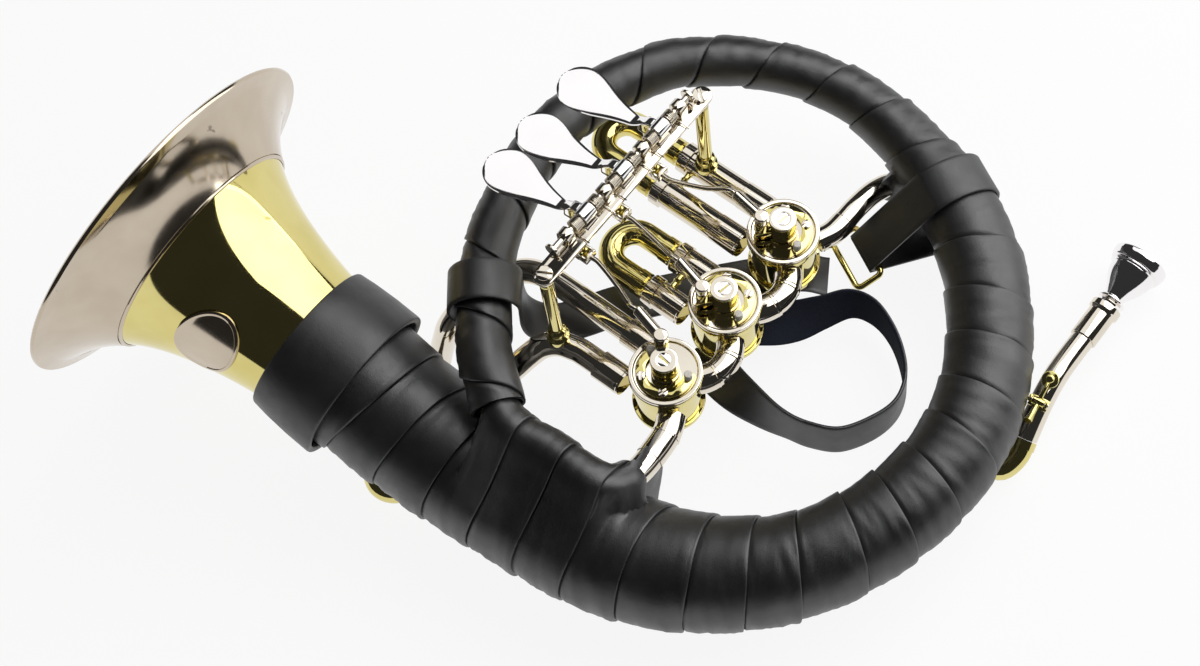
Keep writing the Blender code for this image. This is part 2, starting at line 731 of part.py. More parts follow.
def make_knuckles(cutters):
    """Quarter bends that take the air from one casing to the next."""
    reach = KNUCKLE_REACH / math.sqrt(2)
    radius = (VALVE_PITCH / 2 - reach) * math.sqrt(2)
    drop = -reach + radius / math.sqrt(2)
    for name, left in (("knuckle_1_to_2", 2), ("knuckle_2_to_3", 3)):
        centre = (valve_x(left) + VALVE_PITCH / 2, drop)
        points = arc(centre, radius, 225, 315, 5)
        made = as_mesh(tube(name, points, TUBE_RADIUS, NICKEL, ROW, 2, TUBE_WALL))
        cut(made, cutters[left], cutters[left - 1])


# Slides.
def slide_line(number):
    """Centre lines of a slide's two sleeves, and where its straight legs and bow lie."""
    x = valve_x(number)
    if number == 3:
        direction = Vector((-0.984, -0.179, 0.095)).normalized()
        side = Vector((0.179, -0.984, 0.15))
        side = (side - direction * side.dot(direction)).normalized()
        middle = Vector((-70.2, 101.5, -69.0))
        one = [Vector(p) for p in (
            (-50.8, 9, 0), (-50.8, 36, 0), (-51.6, 43, 0), (-53.6, 49.5, -0.4),
            (-58, 54.5, -1.5), (-64.5, 57.5, -4), (-70.5, 60.5, -9), (-74, 65, -18),
            (-75, 71, -30), (-75, 78.5, -45), (-75.5, 86, -58), (-79.5, 90.2, -66),
        )]
        two = [Vector(p) for p in (
            (-31.2, 9, 0), (-31.2, 66, 0), (-31.8, 76, -0.5), (-35, 84.5, -2), (-42, 91.5, -5),
            (-51, 96.5, -10), (-60, 101, -18), (-66.5, 105.5, -30), (-69.5, 109, -46),
            (-72, 111.5, -59), (-77.5, 111, -68),
        )]
        straight = (12.0, 24.0, 36.0, 58.0)
        one += [middle + side * LEG_SPACING + direction * r for r in straight[:3]]
        two += [middle - side * LEG_SPACING + direction * r for r in straight[:3]]
        one = [Vector(p) for p in spline_through(one[1:], 10)]
        two = [Vector(p) for p in spline_through(two[1:], 9)]
        one.insert(0, Vector((-50.8, 9, 0)))
        two.insert(0, Vector((-31.2, 9, 0)))
        return one, two, middle, direction, side, (27.0, straight[3])
    sleeve, bow = (62.0, 87.4) if number == 1 else (34.0, 50.5)
    direction, side = Vector((0, 1, 0)), Vector((1, 0, 0))
    one = [Vector((x + LEG_SPACING, y, 0)) for y in (9, sleeve)]
    two = [Vector((x - LEG_SPACING, y, 0)) for y in (9, sleeve)]
    return one, two, Vector((x, 0, 0)), direction, side, (18.0, bow)


def make_slide(number, cutter):
    one, two, middle, direction, side, (start, bow) = slide_line(number)
    legs = []
    for k, line in enumerate((one, two)):
        mouth = (line[-1] - line[-2]).normalized()
        wide = SLEEVE_RADIUS + 0.6
        points = line[:-1] + [line[-1] - mouth * 5.1, line[-1] - mouth * 4.9, line[-1]]
        radii = [SLEEVE_RADIUS] * len(line) + [wide, wide]
        name = f"slide_{number}_sleeves" if k == 0 else f"slide_{number}_sleeve_two"
        kind = NICKEL if k == 0 else None
        legs.append(as_mesh(tube(name, points, radii, kind, ROW, 2, 0.8)))
    if number == 3:
        a, b = one[-1] - direction * 7, two[-1] - direction * 7
    else:
        a, b = Vector((one[-1].x, one[-1].y - 7, 0)), Vector((two[-1].x, two[-1].y - 7, 0))
    across = (b - a).normalized()
    a, b = a + across * (SLEEVE_RADIUS - 0.7), b - across * (SLEEVE_RADIUS - 0.7)
    stay = as_mesh(tube(f"slide_{number}_stay", [a, b], 1.6, None, ROW, 1))
    cut(join(legs[0], legs[1], stay), cutter)

    points, radii = [], []
    first, last = middle + side * LEG_SPACING, middle - side * LEG_SPACING
    edge = 2.0 if number != 3 else 1.0
    sleeve_end = (one[-1] - middle).dot(direction)
    marks = [(start, 5.0), (sleeve_end + edge, 5.0), (sleeve_end + edge + 0.1, 6.2), (bow, 6.0)]
    for run, radius in marks:
        points.append(first + direction * run)
        radii.append(radius)
    for k in range(1, 5):
        turn = math.pi * k / 5
        spot = middle + direction * (bow + LEG_SPACING * math.sin(turn))
        points.append(spot + side * LEG_SPACING * math.cos(turn))
        radii.append(5.9)
    for run, radius in marks[::-1]:
        points.append(last + direction * run)
        radii.append(radius)
    origin = middle + direction * (bow + LEG_SPACING)
    carrier = Matrix.Translation(origin * MM)
    local = [p - origin for p in points]
    tube(f"slide_{number}_bow", local, radii, BRASS, ROW, 2, TUBE_WALL, carrier)


# Levers, links and what carries them.
def make_rail():
    a, b = RAIL_ENDS
    r = RAIL_WIDTH / 2
    outline = [(x + b, y) for x, y, _ in arc((0, 0), r, -90, 90, 6)]
    outline += [(x + a, y) for x, y, _ in arc((0, 0), r, 90, 270, 6)]
    at = frame_at((0, RAIL_Y, RAIL_Z))
    half = RAIL_THICK / 2
    rail = plate("lever_rail", outline, -half, half, BRASS, ROW, at)
    blocks = []
    for k, x in enumerate(BLOCK_X):
        place = (x, AXLE_Y + 0.3, (RAIL_Z + AXLE_Z + 4.0) / 2)
        size = (BLOCK_LENGTH, 7.0, AXLE_Z + 4.0 - RAIL_Z)
        blocks.append(box(f"rail_block_{k}", size, place, None, ROW))
    join(rail, *blocks)
    line = frame_along((-60, AXLE_Y, AXLE_Z), (1, 0, 0))
    hole = cylinder("axle_hole", AXLE_HOLE, 0, 120, None, ROW, line, 10)
    ends = [
        cylinder(f"rail_hole_{k}", 2.2, -5, 5, None, ROW, frame_at((x, RAIL_Y, RAIL_Z)), 8)
        for k, x in enumerate((a + 0.3, b - 0.7))
    ]
    cut(rail, hole, *ends)
    pin, disc = AXLE_RADIUS, 3.4
    low, high = AXLE_ENDS
    axle = [(0, high), (disc, high), (disc, high - 1.4), (pin, high - 1.4),
            (pin, low + 1.4), (disc, low + 1.4), (disc, low), (0, low)]
    at = frame_along((0, AXLE_Y, AXLE_Z), (1, 0, 0))
    turned("lever_axle", axle, 12, NICKEL, ROW, at, closed=False)
    for name, x, line in (
        ("front_post", b - 0.7, [(50.8, 30, 0), (50.8, 60, 0)]),
        ("back_post", a + 0.3, slide_line(3)[0][1:9]),
    ):
        at = frame_at((x, RAIL_Y, 0))
        top = RAIL_Z - RAIL_THICK / 2 - GAP
        shape = [(3.2, top), (3.2, 12), (5.2, 8.2), (5.2, 3.4), (0, 3.4), (0, top - 6),
                 (2.1, top - 6), (2.1, top)]
        post = turned(name, shape, 12, BRASS, ROW, at)
        saddle = as_mesh(tube(name + "_saddle", line, SLEEVE_RADIUS + 0.35, None, ROW, 4))
        cut(post, saddle)
        face = RAIL_Z + RAIL_THICK / 2 + GAP
        head = [(0, face + 1.8), (3.2, face + 1.8), (3.8, face + 1.1), (3.8, face),
                (1.8, face), (1.8, top - 5), (0, top - 5)]
        screw = turned(name + "_screw", head, 12, NICKEL, ROW, at, closed=False)
        slot = box(name + "_slot", (9, 1.0, 2), (0, 0, face + 2.0), None, ROW, at)
        cut(screw, slot)


def make_lever(number):
    """One finger lever: touchpiece, arm, hub and the arm that hangs down to its link."""
    x = LEVER_X[number - 1]
    axis = empty(f"lever_{number}_axis", ROW, frame_at((x, AXLE_Y, AXLE_Z)))
    along = frame_along((0, 0, 0), (1, 0, 0))
    half = HUB_LENGTH / 2
    hole = AXLE_HOLE
    hub = [(HUB_RADIUS, half), (HUB_RADIUS, -half), (hole, -half), (hole, half)]
    lever = turned(f"lever_{number}", hub, 10, SILVER, axis, along)
    shift = (-1.5, -4.1, -1.4)[number - 1]
    reach = TOUCH_REACH
    upper = [(0, 2.6, 0.2), (0, 10, 0.6), (shift * 0.4, 18, -0.6), (shift, 24, -3.6),
             (shift, 30, -TOUCH_FALL - 0.4)]
    arm = as_mesh(tube(f"lever_{number}_arm", upper, [1.7, 1.7, 1.8, 2.2, 2.0], None, axis, 1))
    drop = [(0, 2.2, -0.6), (0, 7.0, -2.6), (0, 8.4, -7), (0, 7.6, -22), (0, 6.3, -40.0)]
    lower = as_mesh(tube(f"lever_{number}_drop", drop, 1.7, None, axis, 1))
    outline = []
    for k in range(12):
        turn = 2 * math.pi * k / 12
        wide = TOUCH_RADIUS * math.sin(turn) * (1 + 0.16 * math.cos(turn))
        outline.append((shift - wide, reach + 14.6 * math.cos(turn)))
    touch = plate(f"lever_{number}_touch", outline, -1.2, 1.2, None, axis,
                  frame_at((0, 0, -TOUCH_FALL)))
    end = frame_along((0, 6.3, -LEVER_DROP), (1, 0, 0))
    eye = cylinder(f"lever_{number}_eye", 2.6, -1.8, 1.8, None, axis, end, 8)
    join(lever, arm, lower, touch, eye)
    hole = cylinder(f"lever_{number}_pin_hole", 1.3, -4, 4, None, axis, end, 7)
    bore = cylinder(f"lever_{number}_bore", AXLE_HOLE, -6, 6, None, axis, along, 10)
    cut(lever, hole, bore)
    make_link(number, axis)


def make_link(number, axis):
    """The rod from a lever down to its stop arm, with a fork at the lever end."""
    x = LEVER_X[number - 1]
    pin = Vector((0, 6.3, -LEVER_DROP))
    holder = empty(f"link_{number}_axis", axis, Matrix.Translation(pin * MM))
    turn = math.radians(arm_angle(number))
    far = Vector((valve_x(number) + STOP_ARM_REACH * math.cos(turn),
                  STOP_ARM_REACH * math.sin(turn), LINK_Z))
    start = Vector((x, AXLE_Y, AXLE_Z)) + pin
    there = far - start
    swing = (2.4, 4.0, 4.0)[number - 1]
    near = there + Vector((swing, 15.5, 0.4))
    path = [(0, -4.6, 0), (0, -9, 0), ((near.x) * 0.5, (near.y - 9) * 0.5, 0.3),
            tuple(near + Vector((0, 4, 0))), tuple(near)]
    path = spline_through(path, 5)
    mid = near - (near - there).normalized() * 0.1
    body = path + [tuple(mid), tuple(there + (near - there).normalized() * 2.4)]
    radii = [1.1] * 5 + [2.5, 2.5]
    rod = as_mesh(tube(f"link_{number}", body, radii, NICKEL, holder, 1))
    eye = cylinder(f"link_{number}_eye", 3.2, there.z - 2.5, there.z + 2.6, None, holder,
                   Matrix.Translation(Vector((there.x, there.y, 0)) * MM), 10)
    fork = box(f"link_{number}_fork", (6.8, 5.4, 4.2), (0, -2.3, 0), None, holder)
    gap = box(f"link_{number}_gap", (4.2, 6.6, 6), (0, 0.6, 0), None, holder)
    across = frame_along((0, 0, 0), (1, 0, 0))
    ear = cylinder(f"link_{number}_ears", 2.1, -3.4, 3.4, None, holder, across, 8)
    fork = as_mesh(cut(join(fork, ear), gap))
    pin = cylinder(f"link_{number}_pin", 0.85, -3.2, 3.2, None, holder, across, 6)
    join(rod, fork, eye, pin)


# Mouthpiece, mouthpipe and the tube that brings the air to the first valve.
MOUTH_FRAME = frame_along(MOUTH_RIM, -MOUTH_HEADING)


def make_mouth_end():
    inner = [(9.4, 0), (8.2, -5), (5.4, -14), (2.2, -22), (2.6, -41)]
    outer = [(12.0, 0), (12.7, -0.8), (12.7, -2.0), (11.0, -5.0), (7.3, -14),
             (5.2, -21.4), (6.3, -22), (6.3, -23.4), (4.3, -25.0), (3.8, -41)]
    turned("mouthpiece", outer + inner[::-1], 12, SILVER, HORN, MOUTH_FRAME)
    start, end = -RECEIVER_START, -RECEIVER_END
    sleeve = [(6.9, start), (6.9, start - 3), (6.1, start - 4), (6.1, end), (5.55, end),
              (5.55, end + 2), (4.7, end + 2), (4.8, start)]
    turned("mouthpiece_receiver", sleeve, 12, NICKEL, HORN, MOUTH_FRAME)

    begin = MOUTH_RIM + MOUTH_HEADING * (RECEIVER_END - 1.6)
    more = MOUTH_RIM + MOUTH_HEADING * (RECEIVER_END + 14)
    line = (begin, more, (132.5, -27.5, -15.8), (126.8, -37.0, -19.0), (121.5, -47.0, -24.5))
    line = [tuple(p) for p in line]
    pipe = spline_through(line, 8)
    as_mesh(tube("mouthpipe", pipe, PIPE_RADIUS, NICKEL, HORN, 2, 0.7))
    tube("return_bow", BOW_LINE, PIPE_RADIUS, BRASS, HORN, 2, 0.7)
    back = tube("valve_1_branch", RETURN_LINE[:-1], PIPE_RADIUS, NICKEL, HORN, 2, 0.7)
    shape = cylinder("valve_1_branch_end", CASING_RADIUS + GAP, -14, 14, None, HORN,
                     frame_at(horn_point((valve_x(1), 0, 0)), ROW_HEADING), 24)
    cut(as_mesh(back), shape)
    front = tube("valve_3_branch", BRANCH_LINE, TUBE_RADIUS, NICKEL, HORN, 2, 0.7)
    shape = cylinder("valve_3_branch_end", CASING_RADIUS + GAP, -14, 14, None, HORN,
                     frame_at(horn_point((valve_x(3), 0, 0)), ROW_HEADING), 24)
    cut(as_mesh(front), shape)


# The water key on the mouthpipe.
def make_water_key():
    """A saddle on the pipe, and a sprung lever whose cork closes a small spout."""
    base = Vector((127.2, -36.2, -18.6))
    along = Vector((132.5, -27.5, -15.8)) - base
    up = Vector((0, 0, 1))
    frame = frame_along(base, up - along * (up.dot(along) / along.length_squared), along)
    spout = along.length
    nipple = cylinder("water_spout", 2.6, 4.9, 6.8, None, HORN,
                      frame @ frame_at((spout, 0, 0)), 10)
    join(bpy.data.objects["mouthpipe"], nipple)
    foot = box("water_key_saddle", (5.0, 8.8, 1.5), (0, 0, 6.3), NICKEL, HORN, frame)
    ears = [
        box(f"saddle_ear_{k}", (3.6, 1.3, 4.6), (0, side * 3.75, 8.6), None, HORN, frame)
        for k, side in enumerate((-1, 1))
    ]
    line = frame @ frame_along((0, 0, 9.3), (0, 1, 0))
    pin = cylinder("saddle_pin", 0.7, -4.6, 4.6, None, HORN, line, 8)
    join(foot, *ears, pin)

    axis = empty("water_key_axis", HORN, line)
    local = line.inverted() @ frame
    hub = [(1.8, 2.7), (1.8, -2.7), (1.05, -2.7), (1.05, 2.7)]
    key = turned("water_key", hub, 10, NICKEL, axis)
    arm = as_mesh(tube("water_key_arm", [(1.2, 0, 9.4), (6, 0, 10.6), (spout, 0, 10.0)],
                       1.0, None, axis, 1, 0.0, local))
    tail = as_mesh(tube("water_key_tail", [(-1.2, 0, 9.4), (-6, 0, 10.6), (-10, 0, 12.4)],
                        [1.0, 1.2, 1.8], None, axis, 1, 0.0, local))
    cup = cylinder("water_key_cup", 3.8, 8.5, 10.1, None, axis,
                   local @ frame_at((spout, 0, 0)), 12)
    join(key, arm, tail, cup)
    cylinder("water_key_cork", 3.2, 7.1, 8.2, CORK, axis, local @ frame_at((spout, 0, 0)), 12)


# Straps.
RING_AT = Vector((53.5, 38.5, -20.5))
LOOP_AT = Vector((93.5, 55.0, -0.2))
LOOP_ACROSS = Vector((0.42, -0.905, -0.07)).normalized()
STRAP_WIDTH, STRAP_THICK = 19.0, 1.6
RING_HALF = 6.5


def loop_axes():
    """From the coil towards the ring, square to the strap's width, and the way up."""
    away = RING_AT - LOOP_AT
    away = (away - LOOP_ACROSS * away.dot(LOOP_ACROSS)).normalized()
    return away, LOOP_ACROSS.cross(away)


def hull_of_circles(circles, count):
    """Points round a band pulled tight over circles of (across, up, radius)."""
    made = []
    for k in range(count):
        turn = 2 * math.pi * k / count
        c, s = math.cos(turn), math.sin(turn)
        a, b, r = max(circles, key=lambda one: one[0] * c + one[1] * s + one[2])
        made.append((a + r * c, b + r * s))
    return made


def make_straps():
    away, up = loop_axes()
    reach = (RING_AT - LOOP_AT).dot(away) - RING_HALF
    circles = [(0, 0, 19.4), (reach, 0, 2.9)]
    for edge in (-10, 0, 10):
        tube_at = companion_offset(RETURN_LINE, LOOP_AT + LOOP_ACROSS * edge, LOOP_ACROSS)
        circles.append((tube_at.dot(away), tube_at.dot(up), 14.4))
    rows = [
        (LOOP_AT + away * a + up * b, LOOP_ACROSS)
        for a, b in hull_of_circles(circles, 22)
    ]
    ribbon("coil_strap", rows, STRAP_WIDTH, STRAP_THICK, LEATHER, HORN, closed=True)

    corner, points = 2.6, []
    half = (RING_HALF, STRAP_WIDTH / 2 + 3.0)
    for a, b, first in ((1, 1, 0), (-1, 1, 90), (-1, -1, 180), (1, -1, 270)):
        centre = (a * (half[0] - corner), b * (half[1] - corner))
        points += arc(centre, corner, first, first + 90, 2)
    middle = LOOP_AT + away * (reach + RING_HALF)
    path = [middle + away * x + LOOP_ACROSS * y for x, y, _ in points]
    ring = tube("strap_ring", path, 1.5, BRASS, HORN, 1)
    ring.data.use_fill_caps = False
    ring.data.splines[0].use_cyclic_u = True

    far = middle + away * RING_HALF
    start = far + away * 9 + up * 0.4
    rest = [
        ((24, 34, -24.6), (0.1, -1, 0)), ((-20, 27.5, -24.6), (0.1, -1, 0)),
        ((-50, 20, -22), (0.1, -1, 0)), ((-66, 14, -20.5), (0.1, -1, 0)),
        ((-76, 10.5, -18.5), (0, -1, 0)), ((-84, 9.5, -15.2), (0, -1, 0)),
        ((-89.4, 9.4, -8), (0, -1, 0)), ((-90.9, 9.3, 1), (0, -1, 0)),
    ]
    rows = [(start, LOOP_ACROSS)] + [(Vector(a), Vector(b)) for a, b in rest]
    for k in range(9):
        turn = math.radians(-15 + 30 * k)
        spot = (-105.4 + 15.4 * math.cos(turn), 9.3, 15.5 + 15.4 * math.sin(turn))
        rows.append((Vector(spot), Vector((0, -1, 0))))
    ribbon("hand_strap", rows, STRAP_WIDTH, STRAP_THICK, LEATHER, HORN)

    loop = [
        ((-10, 11, -27.6), (0, 1, 0)), ((8, 11, -28.8), (0, 1, 0.1)),
        ((24, 13.5, -32), (0, 0.8, 0.6)), ((37, 17, -31), (0, 0.45, 0.9)),
        ((50, 19.5, -28), (0, 0.25, 1)), ((60, 14, -26), (0, 0.2, 1)),
        ((67, 3, -25), (0, 0.1, 1)), ((71, -10, -25), (0, 0.1, 1)),
        ((71.5, -22, -25), (0, 0.1, 1)), ((67, -33, -25), (0, 0.1, 1)),
        ((57, -41, -25), (0, 0.17, 1)), ((43, -46, -25), (0, 0.17, 1)),
        ((30, -43, -26), (0, 0.2, 1)), ((20, -37.5, -27), (0, 0.25, 1)),
        ((9, -29, -29), (0.2, 0.5, 0.9)), ((-3, -18, -30), (0.5, 0.6, 0.5)),
        ((-13, -6, -28.4), (0.8, 0.6, 0.1)), ((-18, 0, -27.6), (0.8, 0.6, 0)),
    ]
    ribbon("slack_strap", [(Vector(a), Vector(b)) for a, b in loop], STRAP_WIDTH, STRAP_THICK,
           LEATHER, HORN)


# Springs.
def spring_points(per_turn):
    """One wire: a leg, a coil on each side of the lever's hub, and a bridge under its arm."""
    r, pitch, turns = SPRING_RADIUS, SPRING_PITCH, SPRING_TURNS
    first = HUB_LENGTH / 2 + 0.7
    coil = []
    for k in range(int(turns * per_turn) + 1):
        turn = 2 * math.pi * k / per_turn
        coil.append((first + pitch * k / per_turn, r * math.sin(turn), -r * math.cos(turn)))
    leg_x = coil[-1][0]
    half = [(1.6, 10.6, -5.4), (first - 0.3, 8.6, -4.9)] + coil
    half += [(leg_x, -4.0, -3.1), (leg_x, -8.5, -3.75)]
    other = [(-x, y, z) for x, y, z in half]
    return other[::-1] + half


def least_gap(points, radius, skip):
    """The least distance between two runs of a wire that aren't neighbours."""
    best = 1e9
    for i, a in enumerate(points):
        for b in points[i + skip:]:
            best = min(best, math.dist(a, b))
    return best - 2 * radius


def make_springs():
    points = spring_points(8)
    print("spring: least gap to itself %.2f mm" % least_gap(points, SPRING_WIRE, 5))
    for number in (1, 2, 3):
        at = frame_at((LEVER_X[number - 1], AXLE_Y, AXLE_Z))
        tube(f"lever_{number}_spring", points, SPRING_WIRE, NICKEL, ROW, 1, 0.0, at)


def main():
    make_bell()
    make_coil()
    cutters = {number: wall_cutter(number) for number in (1, 2, 3)}
    for number in (1, 2, 3):
        make_valve(number)
        make_slide(number, cutters[number])
    make_knuckles(cutters)
    make_rail()
    for number in (1, 2, 3):
        make_lever(number)
    make_springs()
    make_mouth_end()
    make_water_key()
    make_straps()


main()
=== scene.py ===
"""The look of the hunting horn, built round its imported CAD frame.

Sizes are in millimetres in the horn's own frame or in the valve row's frame, which has X along
the row, Y towards the levers and Z up the rotor axes. They turn into metres where meshes are made.
"""

import math

import bmesh
import bpy
from mathutils import Matrix, Vector, noise


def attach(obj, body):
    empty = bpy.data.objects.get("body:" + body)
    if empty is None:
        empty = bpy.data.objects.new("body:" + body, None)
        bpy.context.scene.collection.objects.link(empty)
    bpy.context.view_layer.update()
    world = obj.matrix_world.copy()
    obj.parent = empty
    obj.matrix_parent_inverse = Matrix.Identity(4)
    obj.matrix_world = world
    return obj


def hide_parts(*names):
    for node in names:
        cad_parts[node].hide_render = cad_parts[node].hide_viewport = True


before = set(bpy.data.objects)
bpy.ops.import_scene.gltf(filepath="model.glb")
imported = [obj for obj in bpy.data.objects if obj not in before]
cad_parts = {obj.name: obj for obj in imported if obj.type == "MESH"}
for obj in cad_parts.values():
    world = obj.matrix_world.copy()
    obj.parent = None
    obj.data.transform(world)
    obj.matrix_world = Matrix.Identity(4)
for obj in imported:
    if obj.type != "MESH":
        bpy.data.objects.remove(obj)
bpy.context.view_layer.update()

MM = 0.001
GAP = 0.3

# How the horn lies.
REST_ROLL = -0.0214
REST_PITCH = 0.174403
REST_SHIFT = (63.149, -1.064, 54.264)
HORN = (
    Matrix.Translation(Vector(REST_SHIFT) * MM)
    @ Matrix.Rotation(REST_PITCH, 4, "Y")
    @ Matrix.Rotation(REST_ROLL, 4, "X")
)
ROW_CENTRE = Vector((-3.9, 5.3, -5.0))
ROW_HEADING = math.radians(51.3)
ROW = HORN @ Matrix.Translation(ROW_CENTRE * MM) @ Matrix.Rotation(ROW_HEADING, 4, "Z")

# The photograph's camera, with the horn's +Z axis in the camera's own frame.
PHOTO_WIDTH, PHOTO_HEIGHT = 1200, 666
FOCAL_PIXELS = 2465.0
CAMERA_DISTANCE = 1050.0
HORN_AT_PIXEL = (735.0, 320.0)
HORN_UP_SEEN = Vector((-0.0814, 0.4274, 0.9003)).normalized()
SENSOR = 36.0

# Stage.
BACKDROP_TOP, BACKDROP_GLOW, ROOM_GLOW, SKY_LIGHT = 0.0, 0.9, 0.03, 0.16
HORIZON_BLUR = 0.015
FLOOR_GLOW, FLOOR_HALF, FLOOR_LEVEL = 0.9, 6.0, -0.0006
SIDE_BOX = ((0.92, 0.36, 0.72), (1.3, 1.6), 16.0)
TOP_BOX = ((0.3, 0.68, 1.3), (1.3, 0.9), 3.9)

# Bell.
BELL_RIM = Vector((-250, 56.5, 5))
BELL_HEADING, BELL_RISE = math.radians(141), math.radians(14)
BELL_RADIUS, BELL_FLARE_LENGTH, BELL_FLARE_POWER = 84, 13.5, 0.47
BELL_JOINT, BELL_WALL = 118, 1
GARLAND_SEAM = 23
COLLAR_FRONT, COLLAR_REAR = 83, 116
WRAP_BELL_END = 104
PLATE_FROM_RIM, PLATE_LENGTH, PLATE_HEIGHT = 56, 27, 38
PLATE_TURN = math.radians(-62)
GARLAND_RIM = (
    (-3.4, 0.5), (-2.6, 1.1), (-1.4, 1.2), (-0.2, 0.9), (0.5, 0.2), (0.6, -0.6), (0.2, -1.4),
)
GARLAND_BEAD = ((0.9, 1.7), (1.25, 1.3), (1.3, 0.7), (1, 0.2), (0.5, 0))
GARLAND_LIP = ((-8.5, -2.6), (-6, -0.9))
PLATE_RIM = ((0.86, 0.75), (0.88, 0.8), (0.90, 1.15), (0.95, 1.3), (0.985, 1.1), (1, 0.5))

# Coil: centre line and radius over the leather.
COIL = (
    (-99, -43, 12.5, 11.6), (-104, -24, 15, 12), (-106, -3, 15.5, 12.1),
    (-104, 28, 15.5, 11.9), (-94, 58, 15.5, 11.8), (-78, 86, 15, 11.6),
    (-55, 107, 14, 11.4), (-27, 120, 12.5, 11.2), (3, 122, 10.5, 11.2),
    (32, 116, 8, 11.4), (58, 102, 5.5, 12.2), (79, 80, 2.5, 14.2),
    (95, 54, 0, 16.8), (105, 27, -2, 17.8), (107.5, -3, -4, 18.4),
    (103, -33, -6, 19), (91, -59, -8, 19.6), (72, -80, -10, 20.2),
    (49, -96, -12.5, 21), (24, -105.5, -15.5, 22.4), (-3, -107.5, -19, 24.2),
    (-30.5, -103, -23, 26.2), (-58, -91.5, -27, 27.8), (-84, -74, -30, 29),
    (-116, -51, -31.5, 30.2), (-144.5, -29.1, -28.9, 31.2),
)
LEATHER_THICK = 3.4
BAND_WIDTHS = ((0, 31), (200, 29), (330, 26), (430, 21), (600, 22), (760, 25), (1000, 25))
BAND_SIDES, BAND_ROWS, CUT_ROWS = 84, 12, 1
SEAM_STRAY, SEAM_JITTER = 2.4, 0.5
WAVE_HEIGHT, CREASE_HEIGHT, TUCK_HEIGHT = 0.3, 0.8, 0.35
LAP_EDGE = ((0, -1.1), (0.003, -0.35), (0.006, 0.05), (0.016, 0.22), (0.045, 0.28))

# Valves and tubes.
VALVE_X = {1: 41, 2: 0, 3: -41}
VALVE_PITCH = 41
CASING_RADIUS, CASING_HALF = 14.5, 12.5
FLANGE_RADIUS = 16
SPINDLE_TOP = 25
STOP_HUB_RADIUS, STOP_HUB_BASE, STOP_HUB_TOP = 6, 13.4, 25.2
STOP_ARM_REACH, STOP_RING = 9, 10.4
CORK_ANGLES, PLATE_SCREW_ANGLES = (72.5, 287.5), (141, 213)
ARM_ANGLE = {1: 135, 2: 135, 3: 45}
TUBE_RADIUS, PIPE_RADIUS = 6.2, 5.2
LEG_SPACING, SLEEVE_RADIUS = 9.8, 6.6
SLEEVE_START = 5.6
SLEEVE_ENDS = {1: 62, 2: 34, 3: 36}
BOW_STARTS = {1: 87.4, 2: 50.5, 3: 58}
BOW_INSIDE = {1: 18, 2: 18, 3: 27}
BOW_EDGE = {1: 2, 2: 2, 3: 1}
THIRD_SLIDE_AT = Vector((-70.2, 101.5, -69))
THIRD_SLIDE_HEADING = Vector((-0.984, -0.179, 0.095)).normalized()
THIRD_SLIDE_SIDE = Vector((0.179, -0.984, 0.15))
THIRD_NEAR_LEG = (
    (-50.8, 9, 0), (-50.8, 36, 0), (-51.6, 43, 0), (-53.6, 49.5, -0.4), (-58, 54.5, -1.5),
    (-64.5, 57.5, -4), (-70.5, 60.5, -9), (-74, 65, -18), (-75, 71, -30), (-75, 78.5, -45),
    (-75.5, 86, -58), (-79.5, 90.2, -66),
)
THIRD_FAR_LEG = (
    (-31.2, 9, 0), (-31.2, 66, 0), (-31.8, 76, -0.5), (-35, 84.5, -2), (-42, 91.5, -5),
    (-51, 96.5, -10), (-60, 101, -18), (-66.5, 105.5, -30), (-69.5, 109, -46),
    (-72, 111.5, -59), (-77.5, 111, -68),
)
KNUCKLE_REACH = 13.3

# Levers.
RAIL_Y, RAIL_Z, RAIL_ENDS = 49.5, 63, (-53.1, 51.5)
RAIL_WIDTH, RAIL_THICK = 9, 2
AXLE_Y, AXLE_Z, AXLE_RADIUS = 52, 68.5, 1.5
AXLE_ENDS = (-44.5, 46.5)
LEVER_X = {1: 26.9, 2: 2.1, 3: -22.4}
BLOCK_X = (-35.1, -10.1, 14.6, 39.3)
BLOCK_LENGTH = 4.4
HUB_RADIUS, HUB_LENGTH = 3.5, 6.8
LEVER_DROP, LEVER_EYE_Y, LINK_Z = 41.8, 6.3, 28.3
LINK_LEAN = {1: 2.4, 2: 4, 3: 4}
TOUCH_SHIFT = {1: -1.5, 2: -4.1, 3: -1.4}
TOUCH_START, TOUCH_REACH, TOUCH_FALL = 2.8, 52, 8
TOUCH_HALF, TOUCH_NECK = 10.3, 2
TOUCH_RISE, TOUCH_BEND, TOUCH_SWAY = 0.6, (3.6, 11), (6, 24)
TOUCH_OVER, TOUCH_UNDER, TOUCH_ROWS, TOUCH_COLUMNS = 0.8, 0.6, 40, 10
DROP_ROUTE = ((0, 2.2, -0.6), (0, 7, -2.6), (0, 8.4, -7), (0, 7.6, -22), (0, LEVER_EYE_Y, -40))
SPRING_RADIUS, SPRING_TURNS, SPRING_WIRE = 2.85, 7, 0.3

# Mouth end.
MOUTH_RIM = Vector((174.5, 26, -10))
MOUTH_HEADING = Vector((-0.624, -0.777, -0.088)).normalized()
WATER_KEY_AT, WATER_SPOUT = Vector((127.2, -36.2, -18.6)), Vector((132.5, -27.5, -15.8))
MOUTHPIPE_REST = (WATER_SPOUT, (126.8, -37, -19), (121.5, -47, -24.5))

